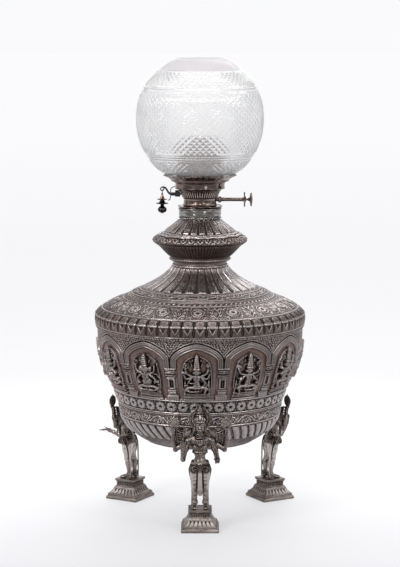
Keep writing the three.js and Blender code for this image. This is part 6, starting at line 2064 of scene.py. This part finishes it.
turn("collar_ring", [(29.4, 483.3), (33.2, 483.3), (34.5, 484.0, 0.6), (34.5, 485.6, 0.6), (33.2, 486.4), (33.3, 487.2), (34.5, 488.2), (34.6, 497.6), (34.0, 498.2), (35.4, 498.9), (35.7, 499.6), (35.4, 500.3), (29.4, 500.3)], "stand", "burner_collar", "collar", 0.3, 256, 0.7, warp=collar_warp)

def plate_warp(PH, R, Z):
    w = sstep(R, 30.0, 36.0)
    Z2 = Z + w * (0.45 * np.sin(PH * 3 + 0.9) + 0.25 * np.sin(PH * 7))
    # painted shade on the underside
    return R, np.clip(Z2, 500.85, 504.2), {"ink": 0.3 * (Z < 501.6) + 0 * R}
def boxes(name, items):
    """Plain closed boxes (x0, x1, y0, y1, z0, z1), used as cutters."""
    V, F = [], []
    for k, (x0, x1, y0, y1, z0, z1) in enumerate(items):
        V += [(x, y, z) for z in (z0, z1) for y in (y0, y1) for x in (x0, x1)]
        F.append(np.array([(0, 2, 3, 1), (4, 5, 7, 6), (0, 1, 5, 4), (2, 6, 7, 3), (0, 4, 6, 2), (1, 3, 7, 5)]) + 8 * k)
    return mesh_object(name, np.array(V, float), F, None, False, None)

def carve(o, items):
    """Cuts boxes out of a piece and leaves plain mesh."""
    c = boxes("cutter", items)
    m = o.modifiers.new("carve", "BOOLEAN")
    m.operation, m.solver, m.object = "DIFFERENCE", "EXACT", c
    me = bpy.data.meshes.new_from_object(o.evaluated_get(bpy.context.evaluated_depsgraph_get()))
    o.modifiers.clear()
    old, o.data = o.data, me
    me.name = o.name
    bpy.data.meshes.remove(old)
    cm = c.data
    bpy.data.objects.remove(c)
    bpy.data.meshes.remove(cm)
    return o

o = turn("base_dish", [(0, 501.0), (32.4, 501.0), (35.2, 501.7), (36.5, 503.0), (36.2, 503.7, 0.15), (34.6, 502.7), (31.8, 502.2), (28.6, 502.3), (27.6, 503.2), (26.9, 504.0), (24.0, 503.4), (0, 503.4)], "burner", "burner_base_plate", "burner", 0.35, 160, 1.6, warp=plate_warp)
carve(o, [(-20.9, 20.9, sy * 10.2 - 3.1, sy * 10.2 + 3.1, 495, 512) for sy in (-1, 1)])

def cup_warp(PH, R, Z):
    h = 0.08 * np.sin(PH * 6 + 1.3) * np.sin(Z * 0.6)
    # painted shade at the cup's top edge and foot, painted highlights in the bands just inside them; grd is the copper
    # of the cup
    ink = 0.5 * np.exp(-((Z - 516.6) / 0.7) ** 2) + 0.4 * np.exp(-((Z - 505.0) / 0.5) ** 2) - 0.22 * np.exp(-((Z - 514.8) / 0.7) ** 2) - 0.2 * np.exp(-((Z - 506.6) / 0.8) ** 2)
    return R + h * (R > 25), Z, {"grd": 0.9 * (R > 26) * sstep(Z, 504.2, 505.4) * (1 - sstep(Z, 514.6, 516.2)), "ink": ink + 0 * R}
turn("cup_wall", [(25.6, 504.4), (28.6, 504.4), (28.4, 505.4), (26.9, 507.6), (26.4, 510.2), (26.5, 513.4), (27.3, 515.4), (27.6, 516.8), (25.8, 516.8), (25.2, 513.5), (25.1, 508.5)], "burner", "burner_cup", "burner", 0.5, 144, 0.8, warp=cup_warp)

def basket_warp(PH, R, Z):
    n = 50
    u = (PH * n / (2 * PI) + 0.5) % 1.0 - 0.5
    t = (Z - 517.1) / 12.9
    outer = R > (27.4 + 6.8 * t)
    rib = dome((u / 0.30) ** 2, 0.5)
    mid = sstep(t, 0.05, 0.16) * (1 - sstep(t, 0.86, 0.95))
    h = outer * mid * (0.75 * rib - 0.95)
    front_hole = 0 * h
    # painted shade between the ribs; the rib tops get a painted highlight through hgt
    ink = outer * mid * np.clip(1 - rib * 2.2, 0, 1) * 1.0
    return R + h + front_hole, Z, {"ink": ink, "hgt": h * 3 + outer * mid * rib * 5.5, "cav": np.clip(ink, 0, 1)}
turn("ribbed_basket", [(26.4, 517.1), (28.2, 517.1), (29.0, 518.0), (30.4, 521.6), (32.4, 525.6), (34.4, 528.6), (35.0, 529.3), (35.0, 529.9), (33.2, 529.9), (31.0, 526.0), (28.8, 521.6), (27.0, 518.2)], "burner", "air_basket", "burner", 0.3, 500, 0.6, warp=basket_warp)

def drum_warp(PH, R, Z):
    outer = R > 39.8
    h = outer * (0.12 * np.sin(PH * 4 + 0.5) * np.sin((Z - 530) * 0.5))
    s0 = math.radians(50)
    slot = outer * dome(((PH - s0) / 0.035) ** 2, 0.5) * sstep(Z, 534.2, 534.8) * (1 - sstep(Z, 540.2, 540.6))
    slot2 = outer * (np.abs(PH - s0 - 0.06) < 0.10) * sstep(Z, 533.9, 534.3) * (1 - sstep(Z, 536.2, 536.6))
    cut = np.maximum(slot > 0.2, slot2 > 0.4)
    h = h - cut * 1.1
    # painted shade in the bayonet slot and in the grooves at the top and the foot
    ink = cut * 1.0 + outer * (0.35 * np.exp(-((Z - 541.3) / 0.5) ** 2) + 0.25 * np.exp(-((Z - 532.4) / 0.5) ** 2))
    return R + h, Z, {"ink": ink, "hgt": h * 2, "cav": cut * 0.8}
turn("drum_wall", [(33.4, 530.4), (35.4, 530.3), (37.6, 530.6), (40.2, 531.6), (40.8, 532.4), (40.2, 533.2), (40.3, 540.2), (40.9, 540.9), (40.7, 541.7), (38.6, 541.7), (38.8, 534.0), (36.6, 532.4), (33.4, 531.8)], "burner", "burner_drum", "burner", 0.3, 300, 0.7, warp=drum_warp)

def gallery_warp(PH, R, Z):
    t = sstep(R, 47.0, 59.0)
    n = 6
    a = PH * n
    wave = 0.5 * (1 + np.cos(a)) ** 1.0
    fine = 0.5 + 0.5 * np.cos(PH * 36)
    Z2 = Z - t * (1.6 * (1 - wave) + 0.35 * (1 - fine))
    R2 = R - t * (0.9 * (1 - fine) ** 2 + 0.5 * (1 - wave))
    low = Z < 543.6 + (R - 43) * 0.72
    vein = t * 0.28 * np.cos(PH * 36) + 0.08 * np.sin(PH * 72) * t
    # painted shade under the gallery's step and between the leaves
    ink = 0.3 * np.exp(-((R - 46.5) / 1.0) ** 2) * low + 0.3 * t * np.clip(-np.cos(PH * 36) - 0.3, 0, 1)
    return R2, Z2 + vein, {"ink": ink, "hgt": vein * 3, "cav": np.clip(-vein * 2, 0, 1)}
turn("leaf_gallery", [(33, 541.9), (41.6, 541.9), (42.8, 542.2), (43.6, 543.4), (46.8, 543.9), (47.6, 545.0), (48.2, 546.6), (52.0, 549.6), (56.6, 553.0), (60.4, 554.4), (60.2, 555.0, 0.1), (56.0, 554.0), (51.2, 550.7), (47.2, 547.9), (46.6, 546.2), (44.4, 545.2), (42.4, 543.6), (33, 543.3)], "burner", "globe_gallery", "burner", 0.3, 432, 0.7, warp=gallery_warp)

# ---------------------------------------------------------------- dome over the wicks, seen through the glass
def dome_warp(PH, R, Z):
    g = 0.10 * np.sin(PH * 5) * np.sin(Z * 0.2)
    # painted shade in the row of vent holes and along it, and darker towards the top
    ink = 0.35 * np.exp(-((Z - 546.5) / 0.8) ** 2) + 0.2 * sstep(Z, 585, 600)
    row = (R > 38.2 - 0.35) * sstep(Z, 544.6, 545.2) * (1 - sstep(Z, 549.6, 550.2))
    u = (PH * 60 / (2 * PI)) % 1.0 - 0.5
    hole = row * (np.abs(u) < 0.25)
    return R + g - 0.5 * hole, Z, {"ink": ink + hole, "hgt": g * 4}
o = turn("flame_dome", [(37.6, 543.7), (38.7, 543.7), (38.9, 545.6), (38.9, 550.6, 0.5), (39.4, 551.6), (38.9, 552.6), (38.3, 562), (36.5, 572), (33.3, 581), (28.7, 589), (22, 596), (12, 601.4), (0, 603), (0, 602.0), (11.8, 600.4), (21.5, 595.1), (27.8, 588.4), (32.3, 580.6), (35.4, 571.8), (37.2, 561.9), (37.8, 552)], "burner", "flame_deflector", "burner", 1.2, 144, 1.6, warp=dome_warp)
carve(o, [(-22, 22, sy * 10.2 - 3.6, sy * 10.2 + 3.6, 575, 610) for sy in (-1, 1)])

# ---------------------------------------------------------------- wick winders
def wheel_warp(x0, r0):
    def f(PH, R, Z):
        on = (np.abs(Z - x0) < 1.2) & (R > r0)
        sp = np.cos(PH * 4) ** 2
        return R + on * 1.9 * sstep(sp, 0.86, 0.97), Z, {"ink": 0.3 * on + 0 * R}
    return f
turn("sleeve_tube", [(1.95, 6), (3.0, 6), (3.0, 9.0), (5.6, 9.0), (5.6, 11.0), (3.0, 11.0), (3.0, 36.0), (3.35, 36.4), (3.35, 38.6), (3.0, 39.0), (3.0, 68.6), (3.5, 69.2), (3.5, 70.4), (1.95, 70.4)], "outer_winder", "winder_sleeve", "burner", 0.15, 64, 1.5, "X", (0, 0, 513.6), wheel_warp(10, 4.5))
def mill(n, r0, amp):
    def f(PH, R, Z):
        on = R > r0
        c = np.cos(PH * n)
        return R + on * amp * c, Z, {"cav": on * np.clip(-c, 0, 1) * 0.5, "hgt": on * c * 1.5}
    return f
turn("winder_disc_wheel", [(1.95, 70.7), (4.2, 70.7), (5.2, 71.1), (7.0, 71.5), (10.6, 71.5), (11.7, 71.3, 0.2), (12.15, 72.4), (11.7, 73.5, 0.2), (10.6, 73.2), (7.0, 73.2), (5.6, 73.6), (4.6, 74.6), (4.0, 75.0), (1.95, 75.0)], "outer_winder", "winder_disc", "burner", 0.35, 240, 0.8, "X", (0, 0, 513.6), mill(60, 11.4, 0.16))
turn("winder_knob_cap", [(0, 77.6), (2.5, 77.6), (2.8, 78.6), (2.5, 79.4), (3.4, 80.3), (6.0, 80.9), (9.2, 81.6), (10.9, 82.2), (11.3, 83.0), (11.2, 84.0), (10.2, 84.5), (8.4, 84.4), (7.6, 84.9), (4.4, 85.5), (2.6, 85.4), (1.8, 85.9), (0, 86.0)], "inner_winder", "winder_knob", "burner", 0.4, 240, 0.8, "X", (0, 0, 513.6), mill(56, 10.8, 0.14))
turn("bush_nut", [(3.1, 0), (3.42, 0), (3.42, 2.2), (5.5, 2.2), (5.6, 3.7), (4.7, 4.5), (4.6, 5.2), (4.9, 6.0), (4.5, 7.0), (3.1, 7.0)], "burner", "winder_bush", "burner", 0.3, 96, 0.6, "X", (27.8, 0, 513.6))

# ---------------------------------------------------------------- extinguisher lever, bracket, wire and pull
def sdf_piece(S, name, body, node, slot, k=0.62):
    v, f, a, e = S.mesh()
    # cav is patina and painted shade in the hollows; the deepest hollows get more painted shade
    return piece(mesh_object(name, v, [f], {"cav": a * k, "hgt": e * 3.0, "ink": np.clip(a - 0.9, 0, 1) * 0.4}, True, M[slot]), body, node)

LX, LZ, EX, EZ = -36.5, 522.5, -61.5, 530.8
def lever():
    S = Sdf((-67, -5, 514), (-26, 5, 537), 0.24)
    S.disc((LX, 0, LZ), (0, 1, 0), 3.3, 4.6, 0.5, 0.3)
    S.rc((LX + 7, 0, LZ), (LX, 0, LZ), 1.5, 2.0, 0.8)
    S.box((LX - 6.4, 0, LZ), (5.4, 2.5, 2.7), 0.9, None, 0.8)
    S.rc((LX - 10.5, 0, LZ), (LX - 12.6, 0, LZ + 0.6), 2.5, 1.8, 0.8)
    S.chain(curve3([(LX - 12.0, 0, LZ + 0.4), (LX - 14.6, 0, LZ + 2.2), (LX - 17.2, 0, LZ + 6.4), (LX - 19.6, 0, LZ + 9.8), (LX - 22.6, 0, LZ + 11.2), (EX + 0.2, 0, EZ + 3.0)], 6), (1.75, 1.15), 0.5)
    S.tor((EX, 0, EZ), (0, 1, 0), 2.7, 0.95, k=0.4)
    for x in (-4.2, -8.4):
        S.tor((LX + x, 0, LZ), (1, 0, 0), 2.75, 0.35, k=0.2, cut=True)
    S.rc((LX, -5, LZ), (LX, 5, LZ), 1.25, 1.25, 0.1, cut=True)
    sdf_piece(S, "lever_arm", "lever", "extinguisher_lever", "steel")
    B = Sdf((-42.5, -6.2, 516.5), (-30.5, 6.2, 530), 0.24)
    for s in (-1, 1):
        B.box((LX + 0.2, s * 3.8, LZ + 0.6), (4.2, 0.85, 4.7), 0.5, None, 0.1)
        B.disc((LX, s * 4.7, LZ), (0, 1, 0), 1.9, 1.0, 0.3, 0.2)
    B.box((LX + 0.2, 0, LZ + 5.3), (4.2, 4.65, 0.75), 0.5, None, 0.5)
    B.rc((LX, -6, LZ), (LX, 6, LZ), 1.2, 1.2, 0.1, cut=True)
    R_ = np.interp(B.ax[2], (500, 517.1, 530, 545), (0, 28.4, 35.2, 35.2))
    r_ = np.sqrt(B.ax[0][:, None] ** 2 + B.ax[1][None, :] ** 2)
    B.d = np.maximum(B.d, ((R_[None, None, :] + 0.25) - r_[:, :, None]).astype(np.float32))
    sdf_piece(B, "lever_forks", "burner", "lever_bracket", "steel")
    W = Sdf((-54.5, -1, 509), (-38.5, 8, 538), 0.26)
    W.chain(curve3([(-40.9, 3.9, 534.4), (-44.3, 3.9, 533.2), (-47.6, 4.4, 529.8), (-47.8, 5, 520), (-48.8, 4.4, 514.2), (-50.2, 3, 512.4), (-52, 2, 512.4)], 8), 0.72, 0.1)
    W.d = np.maximum(W.d, (40.9 - np.sqrt(W.ax[0][:, None] ** 2 + W.ax[1][None, :] ** 2))[:, :, None].astype(np.float32))
    sdf_piece(W, "stop_wire_loop", "burner", "stop_wire", "steel")
lever()

def pull_warp(PH, R, Z):
    red = sstep(Z, 514.2, 515.4)
    # the parts below the copper cone are darker metal; painted shade in the groove at the neck
    ink = 0.35 * (1 - red) + 0.25 * np.exp(-((Z - 503.8) / 1.5) ** 2)
    return R, Z, {"grd": red, "ink": ink * 0.9}
def pull():
    m = metal("pull_bronze", (0.008, 0.007, 0.007), (0.05, 0.046, 0.048), (0.15, 0.138, 0.138), (0.38, 0.33, 0.31), (0.12, 0.3), tint=(0.42, 0.24, 0.19), patch=70, bump_s=0.1)
    o = turn("turned_pull", [(0, 491.2), (2.4, 491.3), (3.0, 492.2, 0.5), (5.2, 492.9), (6.9, 494.9), (7.4, 497.2), (6.8, 499.4), (5.2, 501.3), (3.4, 502.5), (2.9, 503.4), (3.3, 504.3), (2.7, 505.0), (3.6, 505.7), (7.2, 506.4), (9.6, 506.5), (10.2, 507.3, 0.15), (9.6, 508.0), (6.4, 508.5), (4.8, 509.6), (3.7, 511.2), (3.6, 512.6), (6.2, 513.0), (7.6, 513.2), (8.5, 514.0, 0.15), (7.5, 514.8), (4.8, 515.2), (3.5, 516.4), (2.3, 518.8), (1.6, 521.2), (1.3, 522.9), (1.7, 523.5), (1.4, 524.3), (0.9, 524.7), (0, 524.8)], None, None, "steel", 0.5, 120, 0.6, "Z", (EX, 0, 0), pull_warp, mat=m)
    S = Sdf((EX - 3, -5, 522), (EX + 3, 5, 532.4), 0.2)
    S.tor((EX, 0, EZ - 3.35), (1, 0, 0), 2.75, 0.6, k=0.2)
    v, f, a, e = S.mesh()
    # patina and painted shade in the hollows of the link
    k = mesh_object("pull_link", v, [f], {"cav": a * 0.4, "hgt": e * 3, "ink": a * 0.1}, True, M["steel"])
    piece(o, "pull", "pull_finial")
    piece(k, "pull", None)
pull()

# ---------------------------------------------------------------- floor and light
def floor():
    rings = [0.0, 0.15, 0.3, 0.5, 0.75, 1.0, 1.4, 2.0, 3.0, 4.5, 7.0, 11.0, 18.0, 30.0, 60.0, 120.0]
    n = 96
    v = [(0, 0, 0)]
    for r in rings[1:]:
        for k in range(n):
            a = 2 * PI * k / n
            v.append((r * math.sin(a), -r * math.cos(a), 0))
    f = [(0, 1 + (k + 1) % n, 1 + k)[::-1] for k in range(n)]
    for j in range(len(rings) - 2):
        for k in range(n):
            a, b = 1 + j * n + k, 1 + j * n + (k + 1) % n
            f.append((a, b, b + n, a + n)[::-1])
    me = bpy.data.meshes.new("floor")
    me.from_pydata(v, [], f)
    o = bpy.data.objects.new("floor", me)
    scene.collection.objects.link(o)
    m, t, b = new_mat("floor")
    g = NT(t)
    b.inputs["Roughness"].default_value = 0.7
    b.inputs["Specular IOR Level"].default_value = 0.2
    sep = t.nodes.new("ShaderNodeSeparateXYZ")
    t.links.new(g.coord(), sep.inputs[0])
    rad = g.math("SQRT", g.math("ADD", g.math("POWER", sep.outputs[0], 2.0), g.math("POWER", sep.outputs[1], 2.0)))
    rad = g.math("DIVIDE", rad, 10.0, clamp=True)
    # matt paper near the lamp, running out into an even bright sweep; darker ahead of it, where the paper ends
    base = g.ramp(rad, [(0.0, (0.37, 0.37, 0.385)), (0.06, (0.37, 0.37, 0.385)), (0.13, (0.25, 0.25, 0.26)), (0.25, (0.10, 0.10, 0.105))])
    ahead = g.math("MULTIPLY_ADD", sep.outputs[1], 0.5, 0.5, clamp=True)
    near = g.ramp(ahead, [(0.0, 0.31), (0.12, 0.385), (0.27, 0.70), (0.34, 0.815), (0.41, 0.85), (0.49, 0.925), (0.55, 1.0)])
    t.links.new(g.mix(1.0, base, near, "MULTIPLY"), b.inputs["Base Color"])
    # the floor's glow is partly painted light: far out it gives the even bright sweep, but near the lamp it lifts the
    # shadows that the lamps cast
    em = g.ramp(rad, [(0.0, 0.48), (0.06, 0.48), (0.13, 0.55), (0.25, 0.755), (0.5, 0.815), (1.0, 0.835)])
    em = g.math("MULTIPLY", em, near)
    t.links.new(em, b.inputs["Emission Strength"])
    b.inputs["Emission Color"].default_value = (0.985, 0.985, 1.0, 1)
    me.materials.append(m)
    return o
floor()

def area(name, loc, aim, size, power, col=(1, 1, 1), size_y=None):
    l = bpy.data.lights.new(name, "AREA")
    l.energy, l.color, l.size = power, col, size
    if size_y:
        l.shape, l.size_y = "RECTANGLE", size_y
    o = bpy.data.objects.new(name, l)
    scene.collection.objects.link(o)
    o.location = loc
    o.rotation_euler = (Vector(aim) - Vector(loc)).to_track_quat("-Z", "Y").to_euler()
    return o
area("key", (-2.3, -2.2, 2.4), (0, 0, 0.3), 1.2, 55)
area("fill", (2.6, -1.6, 1.9), (0, 0, 0.3), 1.0, 24)
area("front", (0.1, -3.4, 2.7), (0, 0, 0.35), 0.9, 22)
area("box_left", (-1.95, -3.3, 1.15), (0, 0, 0.35), 0.42, 17, size_y=1.5)
area("box_right", (1.75, -3.4, 1.15), (0, 0, 0.35), 0.42, 15, size_y=1.5)
area("back", (0.4, 2.4, 2.6), (0, 0, 0.4), 2.2, 40)
area("top", (0, 0.0, 3.4), (0, 0, 0), 2.6, 40)

w = bpy.data.worlds.new("world")
w.use_nodes = True
wt = w.node_tree
wg = NT(wt)
sep = wt.nodes.new("ShaderNodeSeparateXYZ")
wt.links.new(wg.coord("Generated"), sep.inputs[0])
up = sep.outputs[2]
behind = wg.ramp(up, [(0.0, (0.955, 0.955, 0.97)), (0.12, (0.945, 0.945, 0.96)), (0.35, (0.90, 0.90, 0.92)), (0.65, (0.68, 0.68, 0.69)), (0.85, (0.64, 0.64, 0.65)), (0.97, (0.95, 0.95, 0.96))])
before = wg.ramp(up, [(0.0, (0.42, 0.42, 0.42)), (0.3, (0.42, 0.42, 0.42)), (0.55, (0.55, 0.55, 0.55)), (0.78, (0.92, 0.92, 0.93)), (1.0, (0.95, 0.95, 0.96))])
turn_y = wg.ramp(wg.math("MULTIPLY_ADD", sep.outputs[1], 0.5, 0.5), [(0.12, 0.0), (0.5, 1.0)], "EASE")
sky = wg.mix(turn_y, before, behind)
wt.links.new(sky, wt.nodes["Background"].inputs[0])
wt.nodes["Background"].inputs[1].default_value = 1.0
scene.world = w
scene.view_settings.view_transform = "Standard"
